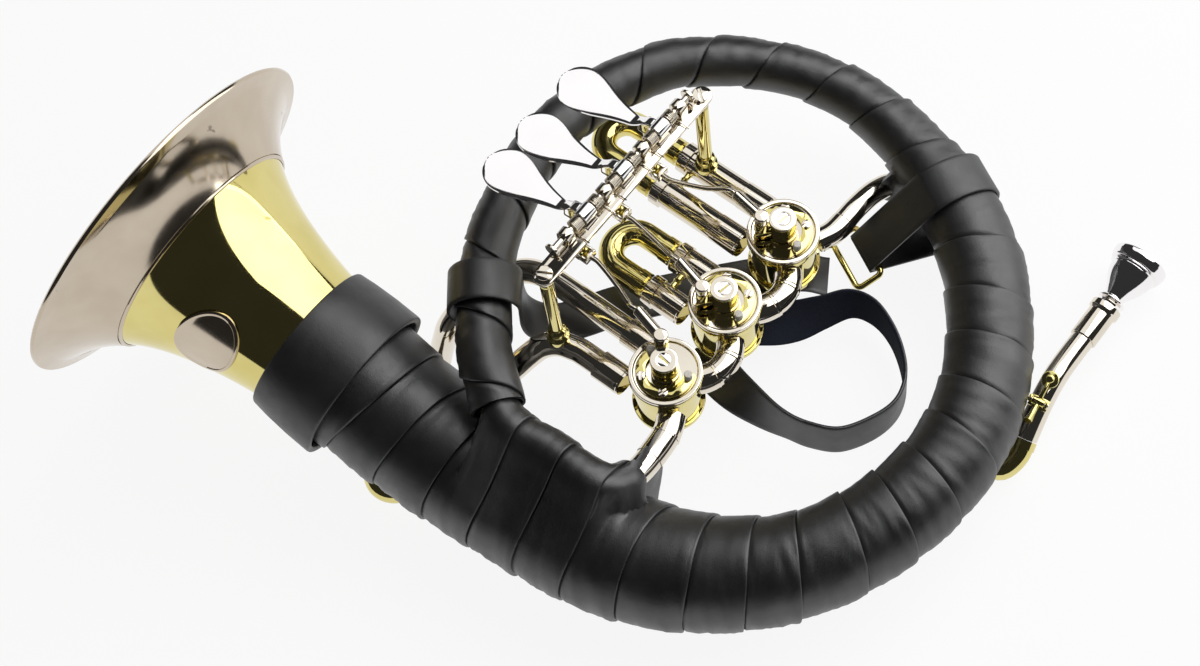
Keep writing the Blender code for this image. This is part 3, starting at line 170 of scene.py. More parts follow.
# Straps.
RING_AT = Vector((53.5, 38.5, -20.5))
LOOP_AT = Vector((93.5, 55, -0.2))
LOOP_ACROSS = Vector((0.42, -0.905, -0.07)).normalized()
STRAP_WIDTH, STRAP_THICK, STRAP_RIPPLE = 19, 1.6, 0.22
RING_HALF = 6.5
HAND_STRAP_RUN = (
    (24, 34, -24.6), (-20, 27.5, -24.6), (-50, 20, -22), (-66, 14, -20.5), (-76, 10.5, -18.5),
    (-84, 9.5, -15.2), (-89.4, 9.4, -8), (-90.9, 9.3, 1),
)
HAND_STRAP_LOOP, HAND_STRAP_LOOP_RADIUS = (-105.4, 9.3, 15.5), 15.4

# The slack strap's middle, and the way across it there.
SLACK_STRAP_RUN = (
    ((-10, 11, -27.6), (0, 1, 0)), ((8, 11, -28.8), (0, 1, 0.1)),
    ((24, 13.5, -32), (0, 0.8, 0.6)), ((37, 17, -31), (0, 0.45, 0.9)),
    ((50, 19.5, -28), (0, 0.25, 1)), ((60, 14, -26), (0, 0.2, 1)),
    ((67, 3, -25), (0, 0.1, 1)), ((71, -10, -25), (0, 0.1, 1)),
    ((71.5, -22, -25), (0, 0.1, 1)), ((67, -33, -25), (0, 0.1, 1)),
    ((57, -41, -25), (0, 0.17, 1)), ((43, -46, -25), (0, 0.17, 1)),
    ((30, -43, -26), (0, 0.2, 1)), ((20, -37.5, -27), (0, 0.25, 1)),
    ((9, -29, -29), (0.2, 0.5, 0.9)), ((-3, -18, -30), (0.5, 0.6, 0.5)),
    ((-13, -6, -28.4), (0.8, 0.6, 0.1)), ((-18, 0, -27.6), (0.8, 0.6, 0)),
)


# Materials.
class Nodes:
    """The nodes of a material or world, added and joined in short form."""

    def __init__(self, owner):
        owner.use_nodes = True
        self.tree = owner.node_tree

    def feed(self, socket, value):
        """Join an output to a socket, or set the socket to a constant."""
        if isinstance(value, bpy.types.NodeSocket):
            self.tree.links.new(value, socket)
        else:
            socket.default_value = value

    def add(self, kind, values=None, **settings):
        node = self.tree.nodes.new(kind)
        for key, value in settings.items():
            setattr(node, key, value)
        for key, value in (values or {}).items():
            self.feed(node.inputs[key], value)
        return node

    def ramp(self, source, stops):
        node = self.add("ShaderNodeValToRGB", {"Fac": source})
        for element, (position, colour) in zip(node.color_ramp.elements, stops):
            element.position, element.color = position, (*colour, 1.0)
        return node.outputs["Color"]

    def maths(self, operation, *values):
        node = self.add("ShaderNodeMath", dict(enumerate(values)), operation=operation)
        return node.outputs["Value"]


class Look(Nodes):
    """A material with a Principled shader, patterned in the object's own space."""

    def __init__(self, name):
        self.material = bpy.data.materials.new(name)
        super().__init__(self.material)
        self.shader = self.tree.nodes["Principled BSDF"]
        self.place = self.add("ShaderNodeTexCoord").outputs["Object"]

    def shade(self, values):
        for key, value in values.items():
            self.feed(self.shader.inputs[key], value)
        return self.material

    def noise(self, scale, detail=4.0, rough=0.5, stretch=None):
        place = self.place
        if stretch:
            place = self.add("ShaderNodeMapping", {"Vector": place, "Scale": stretch}).outputs[0]
        values = {"Vector": place, "Scale": scale, "Detail": detail, "Roughness": rough}
        return self.add("ShaderNodeTexNoise", values).outputs["Fac"]

    def cells(self, scale, feature="DISTANCE_TO_EDGE"):
        values = {"Vector": self.place, "Scale": scale}
        return self.add("ShaderNodeTexVoronoi", values, feature=feature).outputs["Distance"]

    def spread(self, source, low, high, start=0.3, end=0.7):
        """A pattern's middle values stretched to run from low to high."""
        values = {"Value": source, "From Min": start, "From Max": end, "To Min": low,
                  "To Max": high}
        return self.add("ShaderNodeMapRange", values).outputs["Result"]

    def bump(self, height, strength, distance, under=None):
        values = {"Height": height, "Strength": strength, "Distance": distance}
        if under is not None:
            values["Normal"] = under
        return self.add("ShaderNodeBump", values).outputs["Normal"]


def metal(name, light, dark, rough, marks=0.0):
    """Polished metal: a faint change of tint, hairlines, handling haze and a few scratches."""
    made = Look(name)
    tint = made.ramp(made.noise(45.0, 3.0), [(0.35, dark), (0.65, light)])
    haze = made.spread(made.noise(120.0, 5.0, 0.6), rough, rough + 0.04)
    if marks:
        scratch = made.noise(55.0, 3.0, 0.5, (0.35, 2.6, 1.2))
        scratch = made.spread(scratch, 0.0, marks, 0.71, 0.735)
        worn = {"Factor": scratch, "A": tint, "B": (*(0.6 * c for c in dark), 1.0)}
        tint = made.add("ShaderNodeMix", worn, data_type="RGBA").outputs["Result"]
        haze = made.maths("MULTIPLY_ADD", scratch, 0.3, haze)
    hair = made.bump(made.noise(900.0, 2.0, 0.5, (1.0, 0.12, 0.3)), 0.02, 0.00002)
    return made.shade({"Metallic": 1.0, "Base Color": tint, "Roughness": haze, "Normal": hair})


def leather(name, dark, light, rough, grain=0.35):
    """Smooth full-grain leather: fine pores, soft creases and a worn, uneven shine."""
    made = Look(name)
    tint = made.ramp(made.noise(28.0, 6.0, 0.6), [(0.3, dark), (0.72, light)])
    shine = made.spread(made.noise(60.0, 6.0, 0.65), rough - 0.06, rough + 0.1)
    pores = made.bump(made.spread(made.cells(1500.0), 0.0, 1.0, 0.0, 0.25), grain, 0.00006)
    folds = made.bump(made.noise(230.0, 5.0, 0.6), 0.22, 0.0004, pores)
    return made.shade({"Specular IOR Level": 1.0, "Base Color": tint, "Roughness": shine,
                       "Normal": folds})


def suede(name, dark, light):
    made = Look(name)
    nap = made.noise(2600.0, 4.0, 0.7)
    tint = made.ramp(nap, [(0.3, dark), (0.7, light)])
    return made.shade({"Specular IOR Level": 0.15, "Base Color": tint, "Roughness": 0.95,
                       "Normal": made.bump(nap, 0.5, 0.0002)})


def cork(name):
    made = Look(name)
    cells = made.cells(900.0, "F1")
    tint = made.ramp(cells, [(0.0, (0.46, 0.42, 0.36)), (0.5, (0.66, 0.63, 0.58))])
    return made.shade({"Base Color": tint, "Roughness": made.spread(cells, 0.55, 0.8, 0.0, 0.5),
                       "Normal": made.bump(cells, 0.3, 0.0001)})


BRASS = metal("lacquered_brass", (0.72, 0.63, 0.26), (0.66, 0.57, 0.21), 0.035, marks=0.8)
NICKEL = metal("nickel_silver", (0.78, 0.72, 0.62), (0.72, 0.66, 0.56), 0.04)
GARLAND = metal("garland_nickel", (0.58, 0.50, 0.40), (0.53, 0.45, 0.355), 0.11, marks=0.6)
SILVER = metal("silver_plate", (0.93, 0.91, 0.91), (0.90, 0.88, 0.88), 0.05)
LEATHER = leather("black_leather", (0.005, 0.005, 0.006), (0.014, 0.014, 0.015), 0.4)
CUT_EDGE = suede("cut_leather_edge", (0.016, 0.019, 0.032), (0.045, 0.05, 0.075))
STRAP = leather("strap_leather", (0.005, 0.005, 0.006), (0.012, 0.012, 0.013), 0.44, 0.25)
SUEDE = suede("navy_suede", (0.010, 0.012, 0.020), (0.030, 0.034, 0.052))
CORK = cork("pale_cork")


# Making pieces.
def add_object(name, data):
    made = bpy.data.objects.new(name, data)
    bpy.context.scene.collection.objects.link(made)
    return made


def piece(name, verts, faces, matrix, body, nodes, look, sharp=35.0, extra=None):
    """A mesh piece from points in millimetres in the given frame, riding on a body."""
    mesh = bpy.data.meshes.new(name)
    mesh.from_pydata([matrix @ (Vector(v) * MM) for v in verts], [], faces)
    built = bmesh.new()
    built.from_mesh(mesh)
    bmesh.ops.remove_doubles(built, verts=built.verts, dist=0.000002)
    bmesh.ops.recalc_face_normals(built, faces=built.faces)
    if extra:
        extra(built)
    built.to_mesh(mesh)
    built.free()
    mesh.shade_smooth()
    mesh.set_sharp_from_angle(angle=math.radians(sharp))
    made = add_object(name, mesh)
    mesh.materials.append(look)
    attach(made, body)
    for node in [nodes] if isinstance(nodes, str) else nodes:
        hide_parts(node)
    return made


def fillet(profile, radius, closed):
    """The same outline with its corners rounded."""
    made = []
    count = len(profile)
    for i, corner in enumerate(profile):
        if not closed and i in (0, count - 1):
            made.append(corner)
            continue
        b = Vector(corner)
        a, c = Vector(profile[i - 1]), Vector(profile[(i + 1) % count])
        u, v = a - b, c - b
        if u.length < 1e-6 or v.length < 1e-6 or u.angle(v) > math.radians(168):
            made.append(corner)
            continue
        d = min(radius, 0.4 * u.length, 0.4 * v.length)
        p, q = b + u.normalized() * d, b + v.normalized() * d
        for t in (0.0, 0.25, 0.5, 0.75, 1.0):
            spot = p * (1 - t) ** 2 + b * (2 * t * (1 - t)) + q * t * t
            made.append((spot.x, spot.y))
    return made


def rings(rows, ring):
    """Vertex numbers of rings or rows that were made one after another."""
    return [list(range(i * ring, (i + 1) * ring)) for i in range(rows)]


def skin(rows, closed=False):
    """Faces between rings of vertex numbers; a ring shrunk to a point repeats its number."""
    faces = []
    for one, two in zip(rows, rows[1:] + rows[:closed]):
        for a, b, c, d in zip(one, one[1:] + one[:1], two[1:] + two[:1], two):
            kept = list(dict.fromkeys((a, b, c, d)))
            if len(kept) > 2:
                faces.append(kept)
    return faces


def lathe(name, profile, steps, matrix, body, nodes, look, round_by=0.3):
    """A profile of (radius, height) turned about Z: from axis to axis, or else a ring."""
    closed = profile[0][0] > 0
    rows = fillet(profile, round_by, closed) if round_by else list(profile)
    verts, index = [], []
    for r, z in rows:
        if r < 1e-6:
            index.append([len(verts)] * steps)
            verts.append((0, 0, z))
            continue
        index.append([len(verts) + k for k in range(steps)])
        for k in range(steps):
            turn = 2 * math.pi * k / steps
            verts.append((r * math.cos(turn), r * math.sin(turn), z))
    return piece(name, verts, skin(index, closed), matrix, body, nodes, look)


def both_ways(half):
    """Half a profile and its mirror image below."""
    return half + [(r, -z) for r, z in half[::-1]]


def frame_at(place, heading=0.0):
    return Matrix.Translation(Vector(place) * MM) @ Matrix.Rotation(heading, 4, "Z")


def frame_along(place, direction, side=Vector((0, 0, 1))):
    """A frame with Z along a direction and X as near side as it can be."""
    z = Vector(direction).normalized()
    x = side - z * side.dot(z)
    if x.length < 1e-4:
        x = Vector((1, 0, 0)) - z * z.x
    x.normalize()
    turn = Matrix((x, z.cross(x), z)).transposed().to_4x4()
    return Matrix.Translation(Vector(place) * MM) @ turn


def runs_along(rows):
    """How far along a line each of its rows is."""
    runs = [0.0]
    for a, b in zip(rows, rows[1:]):
        runs.append(runs[-1] + math.dist(a[:3], b[:3]))
    return runs


def resample(rows, step):
    """The same line with its rows evenly spaced, about a step apart."""
    runs = runs_along(rows)
    count = max(1, int(runs[-1] / step))
    made, k = [], 0
    for i in range(count + 1):
        want = runs[-1] * i / count
        while k < len(runs) - 2 and runs[k + 1] < want:
            k += 1
        share = (want - runs[k]) / max(runs[k + 1] - runs[k], 1e-9)
        made.append([a + (b - a) * share for a, b in zip(rows[k], rows[k + 1])])
    return made


def spline(points, step=1.0):
    """A smooth curve through points of any width, sampled closely and evenly."""
    rows = [list(p) for p in points]
    if len(rows) < 3:
        return resample(rows, step)
    first = [2 * a - b for a, b in zip(rows[0], rows[1])]
    last = [2 * a - b for a, b in zip(rows[-1], rows[-2])]
    rows = [first, *rows, last]
    dense = []
    for i in range(1, len(rows) - 2):
        for k in range(24):
            t = k / 24
            dense.append([
                0.5 * (2 * p1 + (p2 - p0) * t + (2 * p0 - 5 * p1 + 4 * p2 - p3) * t * t
                       + (3 * p1 - p0 - 3 * p2 + p3) * t ** 3)
                for p0, p1, p2, p3 in zip(*rows[i - 1:i + 3])
            ])
    return resample(dense + [rows[-2]], step)


def arc(centre, radius, start, end, steps):
    made = []
    for i in range(steps + 1):
        turn = math.radians(start + (end - start) * i / steps)
        made.append((centre[0] + radius * math.cos(turn), centre[1] + radius * math.sin(turn)))
    return made


class Path:
    """A sampled line with a frame that doesn't twist."""

    def __init__(self, rows):
        self.rows = rows
        self.length = runs_along(rows)[-1]
        places = [Vector(r[:3]) for r in rows]
        tangents = []
        for i in range(len(places)):
            a, b = places[max(i - 1, 0)], places[min(i + 1, len(places) - 1)]
            tangents.append((b - a).normalized())
        side = tangents[0].orthogonal().normalized()
        self.sides, self.tangents, self.places = [], tangents, places
        for t in tangents:
            side = (side - t * side.dot(t)).normalized()
            self.sides.append(side.copy())
        self.step = self.length / (len(rows) - 1)

    def at(self, run):
        """Centre, tangent, side and any further values here; beyond the ends it goes straight."""
        k = min(max(int(run / self.step), 0), len(self.rows) - 2)
        share = run / self.step - k
        centre = self.places[k].lerp(self.places[k + 1], share)
        inside = min(max(share, 0.0), 1.0)
        t = self.tangents[k].lerp(self.tangents[k + 1], inside).normalized()
        side = self.sides[k].lerp(self.sides[k + 1], inside)
        side = (side - t * side.dot(t)).normalized()
        rest = [
            a + (b - a) * inside for a, b in zip(self.rows[k][3:], self.rows[k + 1][3:])
        ]
        return centre, t, side, rest


def pipe(name, path, marks, matrix, body, nodes, look, sides=32, step=1.5):
    """A round body along a path, from marks of (run along it, radius)."""
    if not isinstance(path, Path):
        path = Path(path)
    places = []
    for (run, radius), (after, wide) in zip(marks, marks[1:]):
        parts = max(1, int(abs(after - run) / step))
        places += [
            (run + (after - run) * i / parts, radius + (wide - radius) * i / parts)
            for i in range(parts)
        ]
    places.append(marks[-1])
    verts = []
    for run, radius in places:
        centre, t, side, _ = path.at(run)
        other = t.cross(side)
        for k in range(sides):
            turn = 2 * math.pi * k / sides
            verts.append(centre + (side * math.cos(turn) + other * math.sin(turn)) * radius)
    rows = rings(len(places), sides)
    faces = skin(rows) + [rows[0][::-1], rows[-1]]
    return piece(name, verts, faces, matrix, body, nodes, look, 30.0)


def slab(name, outline, low, high, matrix, body, nodes, look, edge=0.3):
    """A flat outline, drawn counter-clockwise, given thickness and soft edges."""
    count = len(outline)
    verts = [(x, y, low) for x, y in outline] + [(x, y, high) for x, y in outline]
    faces = [tuple(range(count))[::-1], tuple(range(count, 2 * count))]
    faces += [(i, (i + 1) % count, count + (i + 1) % count, count + i) for i in range(count)]

    def soften(built):
        rims = [
            e for e in built.edges
            if len(e.link_faces) == 2 and e.calc_face_angle(0) > math.radians(40)
        ]
        bmesh.ops.bevel(built, geom=rims, offset=edge * MM, segments=2, profile=0.5,
                        affect="EDGES", clamp_overlap=True)

    return piece(name, verts, faces, matrix, body, nodes, look, 30.0, soften)


def block(name, size, place, matrix, body, nodes, look, edge=0.3):
    x, y, z = (s / 2 for s in size)
    outline = [(place[0] - x, place[1] - y), (place[0] + x, place[1] - y),
               (place[0] + x, place[1] + y), (place[0] - x, place[1] + y)]
    return slab(name, outline, place[2] - z, place[2] + z, matrix, body, nodes, look, edge)


def screw_head(name, place, radius, low, high, heading, body, nodes, look=NICKEL, slot=0.5):
    """A slotted head: two half discs with a groove between them on a thin base."""
    at = ROW @ frame_at(place, heading)
    lean = math.degrees(math.asin(slot / radius))
    half = arc((0, 0), radius, lean, 180 - lean, 14)
    for side, outline in (("left", [(-x, -y) for x, y in half]), ("right", half)):
        slab(f"{name}_{side}", outline, low, high, at, body, nodes, look, 0.2)
    floor = low + (high - low) * 0.35
    lathe(f"{name}_base", [(0, floor), (radius - 0.1, floor), (radius - 0.1, low), (0, low)],
          32, at, body, nodes, look, round_by=0)


# The bell.
BELL_AXIS = Vector((
    math.cos(BELL_HEADING) * math.cos(BELL_RISE),
    math.sin(BELL_HEADING) * math.cos(BELL_RISE),
    math.sin(BELL_RISE),
))
BELL_FRAME = HORN @ frame_along(BELL_RIM, BELL_AXIS)


def bell_radius(back):
    """The bell's outside radius this far back from its rim."""
    share = BELL_FLARE_LENGTH / (back + BELL_FLARE_LENGTH)
    return BELL_RADIUS * share ** BELL_FLARE_POWER


def stations(start, end, count):
    """Distances back from the rim, closest together at the rim."""
    a, b = math.sqrt(start + 1), math.sqrt(end + 1)
    return [(a + (b - a) * i / (count - 1)) ** 2 - 1 for i in range(count)]


def make_bell():
    runs = stations(3.0, BELL_JOINT, 70)
    outer = [(bell_radius(s) - GAP, -s) for s in runs]
    inner = [(r - BELL_WALL, z) for r, z in outer]
    lathe("bell_body", outer + inner[::-1], 192, BELL_FRAME, "horn", "bell", BRASS, round_by=0)

    runs = stations(1.6, GARLAND_SEAM, 26)
    rim = [(BELL_RADIUS + r, z) for r, z in GARLAND_RIM]
    skin = [(bell_radius(s) + 0.7, -s) for s in runs[2:-1]]
    seam = bell_radius(GARLAND_SEAM)
    skin += [(seam + r, z - GARLAND_SEAM) for r, z in GARLAND_BEAD]
    back = [(bell_radius(s) - 0.1, -s) for s in runs][::-1]
    back += [(BELL_RADIUS + r, z) for r, z in GARLAND_LIP]
    lathe("garland_band", rim + skin + back, 192, BELL_FRAME, "horn", "bell_garland", GARLAND,
          round_by=0)

    around = 96
    steps = [(share / 8, 0.75) for share in range(1, 7)] + list(PLATE_RIM)
    verts = [plate_point(0, 0, 0.75)]
    for share, lift in steps + [(1.0, -0.1)]:
        verts += [plate_point(share, 2 * math.pi * k / around, lift) for k in range(around)]
    faces = [(0, 1 + k, 1 + (k + 1) % around) for k in range(around)]
    for i in range(len(steps)):
        a = 1 + i * around
        for k in range(around):
            m = (k + 1) % around
            faces.append((a + k, a + around + k, a + around + m, a + m))
    piece("blank_plate", verts, faces, BELL_FRAME, "horn", "bell_plate", GARLAND)

    collar = [(36.3, -COLLAR_FRONT), (37.2, -COLLAR_FRONT - 8), (37.9, -COLLAR_FRONT - 20),
              (38.0, -COLLAR_REAR + 1), (37.7, -COLLAR_REAR), (34.9, -COLLAR_REAR),
              (34.2, -COLLAR_REAR + 14), (33.2, -COLLAR_FRONT)]
    lathe("collar_band", collar, 144, BELL_FRAME, "horn", "bell_collar", STRAP, round_by=0.9)


def plate_point(share, turn, lift):
    """A point of the bare oval plate, laid on the bell."""
    along = PLATE_LENGTH / 2 * share * math.cos(turn)
    across = PLATE_HEIGHT / 2 * share * math.sin(turn)
    back = PLATE_FROM_RIM - along
    radius = bell_radius(back)
    angle = PLATE_TURN - across / radius
    return Vector(((radius + lift) * math.cos(angle), (radius + lift) * math.sin(angle), -back))


# The leather on the coil.
BELL_STUB = BELL_RIM - BELL_AXIS * (BELL_JOINT + 2.5)
WRAP_ROWS = spline(COIL + ((*BELL_STUB, 32.0), (*(BELL_RIM - BELL_AXIS * WRAP_BELL_END), 33.8)), 2)
WRAP_PATH = Path(WRAP_ROWS)
BRANCH_LINE = spline((
    (-99.3, -39, 13.2), (-97, -47, 12), (-90.2, -54.7, 10.5), (-79.4, -60.5, 9.2),
    (-68, -69.5, 8.4), (-57.5, -76.5, 5.8), (-49.3, -74.5, 1), (-42.5, -67.5, -2.8),
    (-36.5, -59.5, -4.6), (-30, -49.5, -5), (-27.9, -41.2, -5),
), 3)
RETURN_LINE = spline((
    (36.2, 38.9, -5), (44, 43.5, -5), (54, 55, -5.2), (63, 64, -7.5),
    (72, 69, -12.5), (84, 64, -18), (95, 51, -21.5), (103, 27, -23.5),
    (106, 0, -26), (104.5, -24, -28), (103.5, -38, -29),
), 3)
BOW_LINE = spline((
    (120.6, -48.6, -25.4), (117, -55, -28.5), (110.5, -59.5, -30.6), (105, -56.5, -31.2),
    (103.2, -50, -30.6), (103.3, -40, -29.2),
), 1)

# The leather also goes over two tubes, each with a size and the run along the coil it covers.
COMPANIONS = ((BRANCH_LINE, 6.6, 618, 712), (RETURN_LINE, 5.6, 300, 470))
COVER_FADE, COVER_LIMIT, LIMIT_FADE = 16, 48, 7

# The branch leaves the leather at its entry, with a close cover up to there.
BRANCH_ENTRY = Vector((-46.5, -72, -0.5))
BRANCH_COVER, BRANCH_COVER_RUNS = 5.6, (560, 730)
COVERED_BRANCH = []
for row in spline(BRANCH_LINE, 1.0):
    COVERED_BRANCH.append(Vector(row))
    if (COVERED_BRANCH[-1] - BRANCH_ENTRY).length < 1.6:
        break


def ball_reach(middle, direction, radius):
    """How far out in a direction a ball reaches, or 0 where it isn't met."""
    along = middle.dot(direction)
    spread = radius ** 2 - (middle.length_squared - along * along)
    return along + math.sqrt(spread) if spread > 0 else 0.0


def hull_reach(direction, radius, offset, size):
    """How far out a skin goes that is stretched over the coil and a tube beside it."""
    balls = [(offset * s, radius + (size - radius) * s) for s in (i / 10 for i in range(1, 11))]
    return max(radius, *(ball_reach(middle, direction, wide) for middle, wide in balls))


def companion_offset(route, centre, tangent):
    """Where a tube beside the coil crosses the plane through this point of it."""
    best = None
    for a, b in zip(route, route[1:]):
        a, b = Vector(a), Vector(b)
        da, db = (a - centre).dot(tangent), (b - centre).dot(tangent)
        if da * db <= 0 and abs(da - db) > 1e-6:
            offset = a + (b - a) * (da / (da - db)) - centre
            near = COVER_LIMIT + LIMIT_FADE if best is None else best.length
            if offset.length < near:
                best = offset
    return best


def wrap_point(run, turn, extra):
    """A point of the leather, this far along the coil and round it."""
    centre, tangent, _, (radius,) = WRAP_PATH.at(run)
    up = Vector((0, 0, 1))
    front = (up - tangent * up.dot(tangent)).normalized()
    direction = -front.cross(tangent) * math.cos(turn) + front * math.sin(turn)
    base = radius - LEATHER_THICK + extra
    reach = base
    for line, size, start, end in COMPANIONS:
        weight = smooth((run - start) / COVER_FADE + 1) * smooth((end - run) / COVER_FADE + 1)
        offset = companion_offset(line, centre, tangent) if weight else None
        if offset is not None:
            weight *= smooth((COVER_LIMIT - offset.length) / LIMIT_FADE + 1)
            flat = offset - tangent * offset.dot(tangent)
            over = hull_reach(direction, base, flat, size + extra) - base
            reach = max(reach, base + over * weight)
    if BRANCH_COVER_RUNS[0] < run < BRANCH_COVER_RUNS[1]:
        reach = max(reach, cover_reach(centre, tangent, direction, BRANCH_COVER + extra))
    return centre + direction * reach


def cover_reach(centre, tangent, direction, size):
    """How far out the leather has to go here to lie over the covered branch."""
    near = [spot - centre for spot in COVERED_BRANCH]
    near = [a for a in near if abs(a.dot(tangent)) < size and a.length < COVER_LIMIT]
    return max((ball_reach(away, direction, size) for away in near), default=0.0)


def smooth(share):
    """From 0 to 1 with a soft start and end."""
    share = min(max(share, 0.0), 1.0)
    return share * share * (3 - 2 * share)


def wobble(x, y, z):
    return noise.noise(Vector((x, y, z)))


def band_width(run):
    """How far the winding moves along the coil in one turn."""
    for (a, wide), (b, after) in zip(BAND_WIDTHS, BAND_WIDTHS[1:]):
        if a <= run <= b:
            return wide + (after - wide) * (run - a) / (b - a)
    return BAND_WIDTHS[-1][1]


def make_wrap():
    """One long strip of leather wound round the coil, each turn lapping over the last."""
    length = WRAP_PATH.length
    sides = BAND_SIDES
    seam, run = [], -band_width(0)
    while run < length:
        seam.append(run)
        run += band_width(max(run, 0)) / sides
    seam += [run + (i * band_width(run) / sides) for i in range(sides + 2)]
    count = len(seam) - sides - 1
    for i in range(len(seam)):
        u = i / sides
        seam[i] += SEAM_STRAY * wobble(u * 1.3, 3.1, 0.4)
        seam[i] += SEAM_JITTER * wobble(u * 6.0, 8.3, 2.4)
    levels = list(LAP_EDGE) + [
        (0.09 + 0.87 * k / BAND_ROWS, 0.28 - 0.95 * (k / BAND_ROWS) ** 1.4)
        for k in range(BAND_ROWS + 1)
    ]
    verts, rows = [], []
    for i in range(count):
        turn = 2 * math.pi * i / sides
        row = []
        pull = wobble(i / sides * 5.0, 4.4, 1.9)
        for share, lift in levels:
            run = seam[i] + (seam[i + sides] - seam[i]) * share
            run = min(max(run, 0.2), length - 0.2)
            wave = wobble(run * 0.06, i / sides * 3.0, 0.0)
            crease = wobble(run * 0.34, i / sides * 7.0, 5.0)
            crease *= 0.5 - 0.32 * math.cos(turn)
            height = LEATHER_THICK + lift + WAVE_HEIGHT * wave + CREASE_HEIGHT * crease
            height += TUCK_HEIGHT * pull * (1 - share) ** 6
            row.append(len(verts))
            verts.append(wrap_point(run, turn, height))
        rows.append(row)
    faces, cut = [], set()
    for one, two in zip(rows, rows[1:]):
        for k in range(len(levels) - 1):
            if k < CUT_ROWS:
                cut.add(len(faces))
            faces.append((one[k], two[k], two[k + 1], one[k + 1]))
    for i in range(count - sides - 1):
        lap, after = rows[i + sides], rows[i + sides + 1]
        faces.append((rows[i][-1], rows[i + 1][-1], after[0], lap[0]))
    made = piece("leather_winding", verts, faces, HORN, "horn", "leather_wrap", LEATHER,
                 sharp=50.0)
    made.data.materials.append(CUT_EDGE)
    if len(made.data.polygons) == len(faces):
        for k in cut:
            made.data.polygons[k].material_index = 1


# Valves.
def make_valve(number):
    at, name = ROW @ frame_at((VALVE_X[number], 0, 0)), f"valve_{number}"
    half, wall, rim = CASING_HALF, CASING_RADIUS, FLANGE_RADIUS - 0.2
    top = half - 0.9
    casing = [(rim, top), (rim, top - 3.0), (wall + 0.3, top - 3.3), (wall, top - 4.0),
              (wall, -half + 0.4), (wall - 0.3, -half), (3, -half), (3, top)]
    lathe(f"{name}_barrel", casing, 96, at, "horn", f"{name}_casing", BRASS)
    lid = [(15.7, 13.75), (15.7, top + GAP), (8.0, top + GAP), (8.0, 12.4), (3.4, 12.4),
           (3.4, 13.0), (13.6, 13.0), (13.9, 13.75)]
    lathe(f"{name}_lid", lid, 96, at, "horn", f"{name}_bearing_plate", NICKEL)
    cap = [(0, -12.8), (15.8, -12.8), (15.8, -15.2), (15.0, -16.1), (12.0, -16.1), (11.5, -15.7),
           (4.0, -15.7), (3.4, -16.1), (0, -16.1)]
    lathe(f"{name}_foot", cap, 96, at, "horn", f"{name}_bottom_cap", BRASS)
    make_stops(number, at)


def make_stops(number, at):
    """The arm clamped on the spindle, and the plate with the corks it stops against."""
    name, body = f"valve_{number}", f"rotor_{number}"
    arm, plate = (body, f"{name}_stop_arm"), ("horn", f"{name}_bumper_plate")
    heading = math.radians(ARM_ANGLE[number])
    here = at @ Matrix.Rotation(heading, 4, "Z")
    hub = [(STOP_HUB_RADIUS - 0.2, STOP_HUB_TOP - 1.3), (STOP_HUB_RADIUS - 0.2, 17.2),
           (STOP_HUB_RADIUS, 16.6), (STOP_HUB_RADIUS, STOP_HUB_BASE), (2.9, STOP_HUB_BASE),
           (2.9, STOP_HUB_TOP - 1.3)]
    lathe(f"{name}_hub", hub, 72, at, *arm, BRASS)
    head = [(5.9, STOP_HUB_TOP), (5.9, STOP_HUB_TOP - 1.2), (2.9, STOP_HUB_TOP - 1.2),
            (2.9, STOP_HUB_TOP)]
    lathe(f"{name}_hub_lip", head, 72, at, *arm, NICKEL)
    top = SPINDLE_TOP
    screw_head(f"{name}_hub_screw", (VALVE_X[number], 0, 0), 4.3, top - 0.3, top + 0.15,
               heading + math.radians(35), body, [], SILVER, 0.45)
    lug = [(0, STOP_HUB_TOP), (3.1, STOP_HUB_TOP), (3.1, 19.4), (0, 19.4)]
    lathe(f"{name}_stud", lug, 48, here @ frame_at((STOP_ARM_REACH, 0, 0)), *arm, BRASS)
    block(f"{name}_stop_bar", (8.4, 4.6, 3.0), (8.0, 0, 16.6), here, *arm, BRASS)
    block(f"{name}_arm_web", (5.0, 4.2, 4.0), (6.8, 0, 21.9), here, *arm, BRASS)

    place = at if number == 3 else at @ Matrix.Rotation(math.pi, 4, "Z")
    low, high = 13.25, 14.5
    far, near = arc((0, 0), 12.7, 60, 300, 60), arc((0, 0), 8.1, 300, 60, 48)
    slab(f"{name}_stop_plate", far + near, low, high, place, *plate, BRASS, 0.25)
    for k, turn in enumerate(CORK_ANGLES):
        spot = place @ Matrix.Rotation(math.radians(turn), 4, "Z") @ frame_at((STOP_RING, 0, 0))
        bumper = [(0, 18.3), (1.8, 18.3), (1.8, 14.3), (0, 14.3)]
        lathe(f"{name}_bumper_{k + 1}", bumper, 40, spot, *plate, CORK, round_by=0.6)
    mirror = 0.0 if number == 3 else math.pi
    for k, turn in enumerate(PLATE_SCREW_ANGLES):
        heading = math.radians(turn) + mirror
        x = VALVE_X[number] + STOP_RING * math.cos(heading)
        y = STOP_RING * math.sin(heading)
        screw_head(f"{name}_plate_screw_{k + 1}", (x, y, 0), 2.1, high - 0.1, high + 1.1,
                   heading + k + 0.4 * number, *plate)


